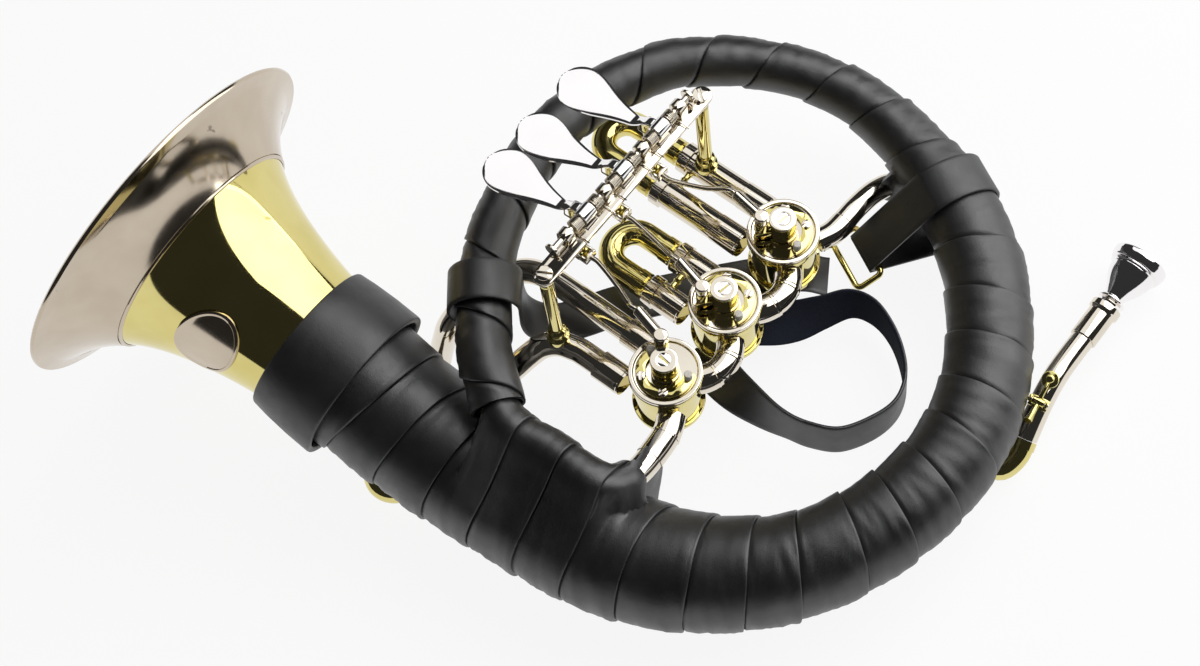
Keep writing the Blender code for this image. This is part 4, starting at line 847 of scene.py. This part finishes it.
# Tubes.
def make_knuckles():
    reach = KNUCKLE_REACH / math.sqrt(2)
    radius = (VALVE_PITCH / 2 - reach) * math.sqrt(2)
    drop = -reach + radius / math.sqrt(2)
    for name, left in (("knuckle_1_to_2", 2), ("knuckle_2_to_3", 3)):
        centre = (VALVE_X[left] + VALVE_PITCH / 2, drop)
        path = Path([[x, y, 0.0] for x, y in arc(centre, radius, 225, 315, 60)])
        end, bare = path.length, TUBE_RADIUS - 0.25
        marks = [(0.0, bare)]
        for low in (7.0, end - 8.0):
            marks += [(low - 0.35, bare), (low, bare + 0.3), (low + 1.0, bare + 0.3),
                      (low + 1.35, bare)]
        pipe(f"{name}_bend", path, marks + [(end, bare)], ROW, "horn", name, NICKEL)
        for k, (low, high) in enumerate(((0.3, 6.6), (end - 6.6, end - 0.3))):
            marks = [(low, TUBE_RADIUS), (high, TUBE_RADIUS)]
            pipe(f"{name}_ferrule_{k + 1}", path, marks, ROW, "horn", name, NICKEL)


def third_slide():
    """The third slide's two legs, which bend down under the bell's tube, and its own axes."""
    middle, direction = THIRD_SLIDE_AT, THIRD_SLIDE_HEADING
    side = (THIRD_SLIDE_SIDE - direction * THIRD_SLIDE_SIDE.dot(direction)).normalized()
    legs = []
    for bend, sign in ((THIRD_NEAR_LEG, 1), (THIRD_FAR_LEG, -1)):
        straight = [middle + side * (sign * LEG_SPACING) + direction * r for r in (12, 24, 36)]
        legs.append(Path(spline([Vector(p) for p in bend] + straight)))
    return legs, middle, direction, side


def make_slide(number):
    body = f"slide_{number}"
    sleeves = ("horn", f"{body}_sleeves")
    sleeve_end, far, inside = SLEEVE_ENDS[number], BOW_STARTS[number], BOW_INSIDE[number]
    plain, lip = SLEEVE_RADIUS - 0.25, SLEEVE_RADIUS + 0.6
    if number == 3:
        legs, middle, direction, side = third_slide()
        plain, lip = SLEEVE_RADIUS - 0.95, SLEEVE_RADIUS
    else:
        x = VALVE_X[number]
        middle, direction, side = Vector((x, 0, 0)), Vector((0, 1, 0)), Vector((1, 0, 0))
        legs = [
            Path(spline([(x + s * LEG_SPACING, 9.0, 0), (x + s * LEG_SPACING, sleeve_end, 0)]))
            for s in (1, -1)
        ]
    for k, leg in enumerate(legs):
        start, end = SLEEVE_START, leg.length
        marks = [(start, SLEEVE_RADIUS - 0.3), (start + 1.0, SLEEVE_RADIUS - 0.3),
                 (start + 1.2, SLEEVE_RADIUS), (start + 14, SLEEVE_RADIUS),
                 (start + 14.2, plain), (end - 5.4, plain), (end - 5.0, lip), (end - 0.3, lip),
                 (end, lip - 0.3), (end, 5.6)]
        pipe(f"{body}_sleeve_{k + 1}", leg, marks, ROW, *sleeves, NICKEL)
    a, b = [leg.at(leg.length - 7.5)[0] for leg in legs]
    across = (b - a).normalized()
    stay = Path(spline([a + across * 5.5, b - across * 5.5], 0.5))
    marks = [(0, 2.6), (1.2, 1.5), (stay.length / 2 - 1.0, 1.4), (stay.length / 2, 1.9),
             (stay.length / 2 + 1.0, 1.4), (stay.length - 1.2, 1.5), (stay.length, 2.6)]
    pipe(f"{body}_stay", stay, marks, ROW, *sleeves, BRASS, 24, 0.4)

    turns = [math.pi * k / 32 for k in range(33)]
    rows = [(inside, 1.0), (far - 0.01, 1.0)]
    rows += [(far + LEG_SPACING * math.sin(t), math.cos(t)) for t in turns]
    rows += [(far - 0.01, -1.0), (inside, -1.0)]
    points = [middle + direction * along + side * (LEG_SPACING * s) for along, s in rows]
    path = Path(resample(points, 0.8))
    total = runs_along(points)[-1]
    begin = sleeve_end + BOW_EDGE[number] - inside
    marks = [(0, 4.9), (begin, 4.9), (begin, 6.1), (begin + 4.5, 6.1), (begin + 4.6, 5.75)]
    marks += [(total - run, radius) for run, radius in marks[::-1]]
    pipe(f"{body}_crook", path, marks, ROW, body, f"{body}_bow", BRASS)


def make_branches():
    path = Path(spline(RETURN_LINE[:-2], 1.0))
    marks = [(0.0, 5.2), (1.0, 5.2), (1.1, 5.55), (14.8, 5.55), (15.2, 5.2), (path.length, 5.2)]
    pipe("first_branch_tube", path, marks, HORN, "horn", "valve_1_branch", NICKEL)
    path = Path(spline(BRANCH_LINE[::-1], 1.0))
    marks = [(0.0, 6.3), (9.0, 6.3), (9.1, 6.55), (10.0, 6.55), (10.1, 6.3), (22.0, 6.3),
             (22.1, 6.0), (path.length, 6.0)]
    pipe("third_branch_tube", path, marks, HORN, "horn", "valve_3_branch", NICKEL)


# Levers and what carries them.
def make_rail():
    a, b = RAIL_ENDS
    r = RAIL_WIDTH / 2
    outline = arc((b, 0), r, -90, 90, 24) + arc((a, 0), r, 90, 270, 24)
    at = ROW @ frame_at((0, RAIL_Y, RAIL_Z))
    slab("lever_rail_bar", outline, -RAIL_THICK / 2, RAIL_THICK / 2, at, "horn", "lever_rail",
         NICKEL)
    for k, x in enumerate(BLOCK_X):
        foot = RAIL_Z - AXLE_Z + 0.9
        outline = [(-3.3, foot), (3.3, foot)] + arc((0, 0), 3.3, 0, 180, 16)
        up = ROW @ frame_at((x, AXLE_Y, AXLE_Z))
        up = up @ Matrix(((0, 0, 1, 0), (1, 0, 0, 0), (0, 1, 0, 0), (0, 0, 0, 1)))
        slab(f"rail_bearing_{k + 1}", outline, -BLOCK_LENGTH / 2, BLOCK_LENGTH / 2, up, "horn",
             "lever_rail", NICKEL)
    low, high = AXLE_ENDS
    pin, disc = AXLE_RADIUS, 3.4
    axle = [(0, high), (disc, high), (disc, high - 1.4), (pin, high - 1.4),
            (pin, low + 1.4), (disc, low + 1.4), (disc, low), (0, low)]
    lathe("lever_axle_rod", axle, 40, ROW @ frame_along((0, AXLE_Y, AXLE_Z), (1, 0, 0)), "horn",
          "lever_axle", NICKEL)
    foot = 4.4
    for name, x in (("front", b - 0.7), ("back", a + 0.3)):
        at = ROW @ frame_at((x, RAIL_Y, 0))
        top = RAIL_Z - RAIL_THICK / 2 - GAP
        post = [(0, top), (3.1, top), (3.1, top - 1.2), (2.7, top - 1.8), (2.7, top - 5),
                (3.0, top - 5.5), (3.0, 16), (2.6, 15.2), (2.6, 13.6), (4.0, 12.4), (4.3, 11),
                (3.6, 9.6), (3.6, 8.8), (5.1, 7.6), (5.1, foot), (0, foot)]
        lathe(f"{name}_pillar", post, 48, at, "horn", f"{name}_post", BRASS)
        face = RAIL_Z + RAIL_THICK / 2
        screw_head(f"{name}_pillar_screw", (x, RAIL_Y, 0), 3.5, face + 0.2, face + 1.7,
                   0.9 if name == "front" else 2.1, "horn", f"{name}_post_screw")


def make_lever(number):
    body, node = f"lever_{number}", f"lever_{number}"
    x = LEVER_X[number]
    at = ROW @ frame_at((x, AXLE_Y, AXLE_Z))
    along = at @ frame_along((0, 0, 0), (1, 0, 0))
    half = HUB_LENGTH / 2
    hub = [(HUB_RADIUS, half), (HUB_RADIUS, -half), (1.85, -half), (1.85, half)]
    lathe(f"{body}_hub", hub, 48, along, body, node, SILVER)
    make_touch(TOUCH_SHIFT[number], at, body, node)
    drop = Path(spline(DROP_ROUTE))
    marks = [(0, 1.7), (6, 1.5), (drop.length - 6, 1.4), (drop.length, 1.7)]
    pipe(f"{body}_arm", drop, marks, at, body, node, BRASS, 24)
    end = at @ frame_along((0, LEVER_EYE_Y, -LEVER_DROP), (1, 0, 0))
    eye = [(2.6, 1.8), (2.6, -1.8), (1.1, -1.8), (1.1, 1.8)]
    lathe(f"{body}_eye", eye, 36, end, body, node, BRASS)
    make_link(number)
    make_spring(number)


def make_touch(shift, at, body, node):
    """A teardrop plate, narrow at the hub, that dips and then runs level under the finger."""
    head = TOUCH_REACH - TOUCH_HALF
    top, bottom = [], []
    for i in range(TOUCH_ROWS + 1):
        y = TOUCH_START + (TOUCH_REACH - TOUCH_START) * (1 - (1 - i / TOUCH_ROWS) ** 1.25)
        if y > head:
            w = math.sqrt(max(TOUCH_HALF ** 2 - (y - head) ** 2, 0.0))
        else:
            u = (y - TOUCH_START) / (head - TOUCH_START)
            w = TOUCH_NECK + (TOUCH_HALF - TOUCH_NECK) * (u ** 2.75) * (3.75 - 2.75 * u)
        bend = smooth((y - TOUCH_BEND[0]) / TOUCH_BEND[1])
        fall = TOUCH_RISE - (TOUCH_FALL - TOUCH_RISE) * bend
        offset = shift * min(max((y - TOUCH_SWAY[0]) / TOUCH_SWAY[1], 0.0), 1.0)
        for side in range(TOUCH_COLUMNS + 1):
            s = -1 + 2 * side / TOUCH_COLUMNS
            crown = 0.1 * (1 - s * s) - 0.35 * max(abs(s) - 0.9, 0) / 0.1
            top.append((offset + s * w, y, fall + TOUCH_OVER + crown))
            bottom.append((offset + s * w, y, fall - TOUCH_UNDER))
    base, faces = len(top), []
    grid = rings(TOUCH_ROWS + 1, TOUCH_COLUMNS + 1)
    for one, two in zip(grid, grid[1:]):
        for a, b, c, d in zip(one, one[1:], two[1:], two):
            faces += [(a, b, c, d), (base + a, base + d, base + c, base + b)]
    edge = grid[0] + [row[-1] for row in grid[1:]] + grid[-1][-2::-1]
    edge += [row[0] for row in grid[-2:0:-1]]
    faces += [(p, q, base + q, base + p) for p, q in zip(edge, edge[1:] + edge[:1])]
    piece(f"{body}_touchpiece", top + bottom, faces, at, body, node, SILVER, sharp=40.0)


def make_link(number):
    """The rod from a lever down to its stop arm, with a fork at the lever end."""
    name = f"link_{number}"
    start = Vector((LEVER_X[number], AXLE_Y + LEVER_EYE_Y, AXLE_Z - LEVER_DROP))
    at = ROW @ frame_at(start)
    link = (name, name, NICKEL)
    turn = math.radians(ARM_ANGLE[number])
    far = Vector((VALVE_X[number] + STOP_ARM_REACH * math.cos(turn),
                  STOP_ARM_REACH * math.sin(turn), LINK_Z))
    there = far - start
    near = there + Vector((LINK_LEAN[number], 15.5, 0.4))
    line = [(0, -4.6, 0), (0, -9, 0), (near.x * 0.5, (near.y - 9) * 0.5, 0.3),
            tuple(near + Vector((0, 4, 0))), tuple(near)]
    rod = Path(spline(line, 1.0))
    pipe(f"{name}_rod", rod, [(0, 1.1), (rod.length, 1.1)], at, *link, 20)
    barrel = Path(spline([tuple(near), tuple(there + (near - there).normalized() * 1.5)], 0.5))
    end = barrel.length
    marks = [(-0.6, 1.3), (0, 2.2), (0.5, 2.5), (end - 1.4, 2.5), (end - 1.2, 2.2), (end, 2.2)]
    pipe(f"{name}_barrel", barrel, marks, at, *link, 36, 0.8)
    eye = [(0, 2.4), (3.2, 2.4), (3.2, -2.4), (0, -2.4)]
    lathe(f"{name}_eye", eye, 40, at @ frame_at(there), *link, round_by=0.8)
    for letter, x in (("a", -2.7), ("b", 2.7)):
        block(f"{name}_cheek_{letter}", (1.2, 7.0, 4.0), (x, -0.8, 0), at, *link)
    block(f"{name}_bridge", (6.6, 1.8, 4.0), (0, -4.0, 0), at, *link)
    pin = both_ways([(0, 3.6), (1.5, 3.6), (1.5, 3.0), (0.85, 3.0)])
    across = at @ frame_along((0, 0, 0), (1, 0, 0))
    lathe(f"{name}_pin", pin, 24, across, *link, round_by=0.15)


def make_spring(number):
    """One wire: a leg, a close coil on each side of the hub, and a bridge under the arm."""
    first = HUB_LENGTH / 2 + 0.7
    last = first + 4.4
    half = [(1.6, 10.6, -5.4), (first - 0.3, 8.6, -4.9)]
    steps = SPRING_TURNS * 24
    for k in range(steps + 1):
        turn = 2 * math.pi * k / 24
        half.append((first + (last - first) * k / steps, SPRING_RADIUS * math.sin(turn),
                     -SPRING_RADIUS * math.cos(turn)))
    half += [(last, -4.0, -3.1), (last, -8.5, -3.75)]
    path = Path(resample([(-x, y, z) for x, y, z in half][::-1] + half, 0.35))
    node = f"lever_{number}_spring"
    pipe(f"{node}_wire", path, [(0, SPRING_WIRE), (path.length, SPRING_WIRE)],
         ROW @ frame_at((LEVER_X[number], AXLE_Y, AXLE_Z)), "horn", node, NICKEL, 10, 0.35)


# Mouth end.
MOUTH_FRAME = HORN @ frame_along(MOUTH_RIM, -MOUTH_HEADING)


def make_mouth_end():
    outer = [(9.6, 0), (12.2, 0), (12.6, -0.6), (12.6, -2.2), (11.9, -4.6), (11.5, -5.2),
             (10.9, -5.4), (10.9, -5.8), (11.1, -6.2), (10.4, -6.8), (10.4, -7.2), (10.2, -7.6),
             (9.6, -10), (8.2, -13.6), (6.2, -17), (4.7, -20), (4.3, -21.4), (5.0, -22),
             (6.2, -22.4), (6.2, -23.2), (4.8, -24.0), (4.3, -25.0), (3.8, -41)]
    inner = [(2.4, -41), (2.2, -22), (4.4, -16), (6.6, -11), (8.2, -6), (9.2, -2)]
    lathe("mouthpiece_cup", outer + inner, 96, MOUTH_FRAME, "mouthpiece", "mouthpiece", SILVER,
          round_by=0.35)
    sleeve = [(6.9, -26.0), (6.9, -29.0), (6.2, -29.8), (6.0, -30.4), (6.0, -44), (5.0, -44),
              (5.0, -26.0)]
    lathe("receiver_tube", sleeve, 72, MOUTH_FRAME, "horn", "mouthpiece_receiver", NICKEL)
    straight = [MOUTH_RIM + MOUTH_HEADING * run for run in (42.4, 58)]
    path = Path(spline((*straight, *MOUTHPIPE_REST)))
    end = path.length + 1.7
    pipe("leadpipe", path, [(0, PIPE_RADIUS), (end, PIPE_RADIUS)], HORN, "horn", "mouthpipe",
         NICKEL)
    bow = Path(BOW_LINE)
    end = bow.length
    marks = [(0, 5.2), (0, 5.5), (4.0, 5.5), (4.1, 5.1), (end - 4.1, 5.1), (end - 4, 5.2),
             (end, 5.2)]
    pipe("pipe_bow", bow, marks, HORN, "horn", "return_bow", BRASS)


def make_water_key():
    along = WATER_SPOUT - WATER_KEY_AT
    up = Vector((0, 0, 1))
    up -= along * (up.dot(along) / along.length_squared)
    at = HORN @ frame_along(WATER_KEY_AT, up, along)
    spout = along.length
    over = at @ frame_at((spout, 0, 0))
    nipple = [(0, 6.7), (2.6, 6.7), (2.6, 4.0), (0, 4.0)]
    lathe("water_nipple", nipple, 32, over, "horn", [], BRASS)
    saddle, key = ("horn", "water_key_saddle"), ("water_key", "water_key")
    block("saddle_foot", (5.0, 8.6, 1.5), (0, 0, 6.3), at, *saddle, BRASS, 0.3)
    for k, y in ((1, -3.75), (2, 3.75)):
        block(f"saddle_cheek_{k}", (3.4, 1.2, 4.4), (0, y, 8.6), at, *saddle, BRASS, 0.4)
    pivot = at @ frame_along((0, 0, 9.3), (0, 1, 0))
    pin = both_ways([(0, 4.6), (1.1, 4.6), (1.1, 4.2), (0.7, 4.2)])
    lathe("saddle_pivot", pin, 24, pivot, *saddle, NICKEL, round_by=0.1)
    hub = [(1.8, 2.7), (1.8, -2.7), (1.05, -2.7), (1.05, 2.7)]
    lathe("water_key_hub", hub, 32, pivot, *key, BRASS)
    arm = Path(spline([(1.2, 0, 9.4), (4, 0, 10.3), (7, 0, 10.5), (spout, 0, 10.0)], 0.5))
    pipe("water_key_arm", arm, [(0, 1.0), (arm.length, 1.0)], at, *key, BRASS, 20)
    tail = Path(spline([(-1.2, 0, 9.4), (-4, 0, 10.0), (-7, 0, 11.0), (-9.6, 0, 12.2)], 0.5))
    marks = [(0, 1.0), (tail.length * 0.6, 1.1), (tail.length, 1.8)]
    pipe("water_key_tail", tail, marks, at, *key, BRASS, 20)
    cup = [(0, 12.0), (1.6, 11.8), (2.0, 11.0), (1.4, 10.1), (3.7, 10.0), (3.7, 8.5), (0, 8.5)]
    lathe("water_key_cup", cup, 40, over, *key, BRASS)
    pad = [(0, 8.3), (3.2, 8.3), (3.2, 7.1), (0, 7.1)]
    lathe("water_key_pad", pad, 40, over, "water_key", "water_key_cork", CORK)


# Straps.
def strap(name, rows, node, closed=False, back=None):
    """A strap through rows of (middle, across), with soft edges and a suede back."""
    flat = [[*m, *Vector(a).normalized()] for m, a in rows]
    if closed:
        flat = flat + flat[:1]
    dense = spline(flat, 2.0)
    if closed:
        dense = dense[:-1]
    section = []
    half, thick = STRAP_WIDTH / 2, STRAP_THICK / 2
    for k in range(13):
        s = -1 + 2 * k / 12
        section.append((s * (half - 0.5), thick + 0.105 * (1 - s ** 4), 0))
    section += [(half - 0.12, thick * 0.65, 0), (half, 0, 1), (half - 0.12, -thick * 0.65, 1)]
    for k in range(13):
        s = 1 - 2 * k / 12
        section.append((s * (half - 0.5), -thick, 1))
    section += [(-half + 0.12, -thick * 0.65, 1), (-half, 0, 1), (-half + 0.12, thick * 0.65, 0)]
    verts, count = [], len(dense)
    for i, row in enumerate(dense):
        here = Vector(row[:3])
        before = Vector(dense[i - 1][:3]) if i or closed else here
        after = Vector(dense[(i + 1) % count][:3]) if i < count - 1 or closed else here
        along = (after - before).normalized()
        across = Vector(row[3:6])
        side = (across - along * across.dot(along)).normalized()
        face = side.cross(along)
        ripple = STRAP_RIPPLE * wobble(i * 0.13, 1.3, len(name))
        for a, b, _ in section:
            verts.append(here + side * a + face * (b + ripple * (1 - (a / half) ** 2)))
    lines = rings(count, len(section))
    faces = skin(lines, closed)
    marks = [mark for _, _, mark in section] * (count if closed else count - 1)
    if not closed:
        faces += [lines[0][::-1], lines[-1]]
        marks += [1, 1]
    made = piece(name, verts, faces, HORN, "horn", node, STRAP, 40.0)
    if back:
        made.data.materials.append(back)
        if len(made.data.polygons) == len(marks):
            for polygon, mark in zip(made.data.polygons, marks):
                polygon.material_index = mark
    return made


def loop_axes():
    """The way from the coil strap's middle to its ring, and the way out of the photo."""
    away = RING_AT - LOOP_AT
    away = (away - LOOP_ACROSS * away.dot(LOOP_ACROSS)).normalized()
    return away, LOOP_ACROSS.cross(away)


def hull_of_circles(circles, count):
    """Points of a belt drawn tight round circles given as (x, y, radius)."""
    made = []
    for k in range(count):
        turn = 2 * math.pi * k / count
        c, s = math.cos(turn), math.sin(turn)
        a, b, r = max(circles, key=lambda one: one[0] * c + one[1] * s + one[2])
        made.append((a + r * c, b + r * s))
    return made


def make_straps():
    away, up = loop_axes()
    reach = (RING_AT - LOOP_AT).dot(away) - RING_HALF
    circles = [(0, 0, 19.4), (reach, 0, 2.9)]
    for edge in (-10, 0, 10):
        tube_at = companion_offset(RETURN_LINE, LOOP_AT + LOOP_ACROSS * edge, LOOP_ACROSS)
        circles.append((tube_at.dot(away), tube_at.dot(up), 14.4))
    rows = [(LOOP_AT + away * a + up * b, LOOP_ACROSS) for a, b in hull_of_circles(circles, 60)]
    strap("coil_strap_band", rows, "coil_strap", closed=True)
    corner, points = 2.6, []
    half = (RING_HALF, STRAP_WIDTH / 2 + 3.0)
    for a, b, first in ((1, 1, 0), (-1, 1, 90), (-1, -1, 180), (1, -1, 270)):
        centre = (a * (half[0] - corner), b * (half[1] - corner))
        points += arc(centre, corner, first, first + 90, 8)
    middle = LOOP_AT + away * (reach + RING_HALF)
    ring = [middle + away * x + LOOP_ACROSS * y for x, y in points]
    path = Path(resample(ring + ring[:1], 0.8))
    pipe("strap_ring_wire", path, [(0, 1.4), (path.length, 1.4)], HORN, "horn", "strap_ring",
         BRASS, 20, 0.8)

    far = middle + away * RING_HALF
    start = far + away * 9 + up * 0.4
    rows = [(start, LOOP_ACROSS)]
    for k, spot in enumerate(HAND_STRAP_RUN):
        rows.append((Vector(spot), Vector((0.1 if k < 4 else 0, -1, 0))))
    x, y, z = HAND_STRAP_LOOP
    for spot in arc((x, z), HAND_STRAP_LOOP_RADIUS, -15, 225, 8):
        rows.append((Vector((spot[0], y, spot[1])), Vector((0, -1, 0))))
    strap("hand_strap_band", rows, "hand_strap")
    strap("slack_strap_band", [(Vector(a), Vector(b)) for a, b in SLACK_STRAP_RUN],
          "slack_strap", back=SUEDE)


# Camera, light and floor.
def make_camera():
    """The camera that took the photograph, from the horn's place in its frame."""
    up_seen = HORN_UP_SEEN
    x_axis = (Vector((1, 0, 0)) - up_seen * up_seen.x).normalized()
    y_axis = up_seen.cross(x_axis)
    centre = (PHOTO_WIDTH / 2, PHOTO_HEIGHT / 2)
    origin = CAMERA_DISTANCE * Vector((
        (HORN_AT_PIXEL[0] - centre[0]) / FOCAL_PIXELS,
        -(HORN_AT_PIXEL[1] - centre[1]) / FOCAL_PIXELS,
        -1.0,
    ))
    place = -Vector((origin.dot(x_axis), origin.dot(y_axis), origin.dot(up_seen)))
    turn = Matrix((x_axis, y_axis, up_seen)).to_4x4()
    data = bpy.data.cameras.new("camera")
    camera = add_object("camera", data)
    data.sensor_width = SENSOR
    data.lens = FOCAL_PIXELS / PHOTO_WIDTH * SENSOR
    data.clip_end = 20.0
    camera.matrix_world = HORN @ Matrix.Translation(place * MM) @ turn
    bpy.context.scene.camera = camera


def area_light(name, place, target, size, power):
    data = bpy.data.lights.new(name, "AREA")
    data.shape = "RECTANGLE"
    data.size, data.size_y = size
    data.energy = power
    lamp = add_object(name, data)
    lamp.location = place
    lamp.rotation_euler = (Vector(target) - Vector(place)).to_track_quat("-Z", "Y").to_euler()


def make_world(scene):
    """White to the camera, a dark studio over a pale backdrop to metal, soft grey to the rest."""
    scene.world = bpy.data.worlds.new("studio")
    made = Nodes(scene.world)
    toward = made.add("ShaderNodeTexCoord").outputs["Generated"]
    height = made.add("ShaderNodeSeparateXYZ", {0: toward}).outputs["Z"]
    room = made.ramp(height, [(BACKDROP_TOP - HORIZON_BLUR, (BACKDROP_GLOW,) * 3),
                              (BACKDROP_TOP + HORIZON_BLUR, (ROOM_GLOW,) * 3)])
    ray = made.add("ShaderNodeLightPath").outputs
    colour = (SKY_LIGHT,) * 3 + (1,)
    for kind, seen in (("Is Glossy Ray", room), ("Is Camera Ray", (1, 1, 1, 1))):
        values = {"Fac": ray[kind], "Color1": colour, "Color2": seen}
        colour = made.add("ShaderNodeMixRGB", values).outputs["Color"]
    made.feed(made.tree.nodes["Background"].inputs["Color"], colour)


def make_floor():
    """Pale, and near white to the camera and to metal, but still shaded by the horn."""
    mesh = bpy.data.meshes.new("floor")
    x = FLOOR_HALF
    mesh.from_pydata([(-x, -x, 0), (x, -x, 0), (x, x, 0), (-x, x, 0)], [], [(0, 1, 2, 3)])
    floor = add_object("floor", mesh)
    floor.location.z = FLOOR_LEVEL
    look = Look("pale_floor")
    mesh.materials.append(look.shade({"Base Color": (0.92, 0.92, 0.92, 1), "Roughness": 0.9}))
    glow = look.add("ShaderNodeEmission", {"Color": (1, 1, 1, 1)}).outputs["Emission"]
    ray = look.add("ShaderNodeLightPath").outputs
    seen = look.maths("MAXIMUM", ray["Is Camera Ray"], ray["Is Glossy Ray"])
    share = look.maths("MULTIPLY", seen, FLOOR_GLOW)
    mix = look.add("ShaderNodeMixShader", {0: share, 1: look.shader.outputs["BSDF"], 2: glow})
    look.feed(look.tree.nodes["Material Output"].inputs["Surface"], mix.outputs["Shader"])


def make_stage():
    scene = bpy.context.scene
    scene.view_settings.view_transform = "Standard"
    make_world(scene)
    for name, (place, size, power) in (("side_softbox", SIDE_BOX), ("top_softbox", TOP_BOX)):
        area_light(name, place, (0, 0, 0.05), size, power)
    make_floor()


make_camera()
make_bell()
make_wrap()
for valve in (1, 2, 3):
    make_valve(valve)
    make_slide(valve)
make_knuckles()
make_branches()
make_rail()
for valve in (1, 2, 3):
    make_lever(valve)
make_mouth_end()
make_water_key()
make_straps()
for node, look in [("coil_tube", BRASS)] + [(f"valve_{k}_rotor", BRASS) for k in (1, 2, 3)]:
    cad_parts[node].data.materials.clear()
    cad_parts[node].data.materials.append(look)
make_stage()
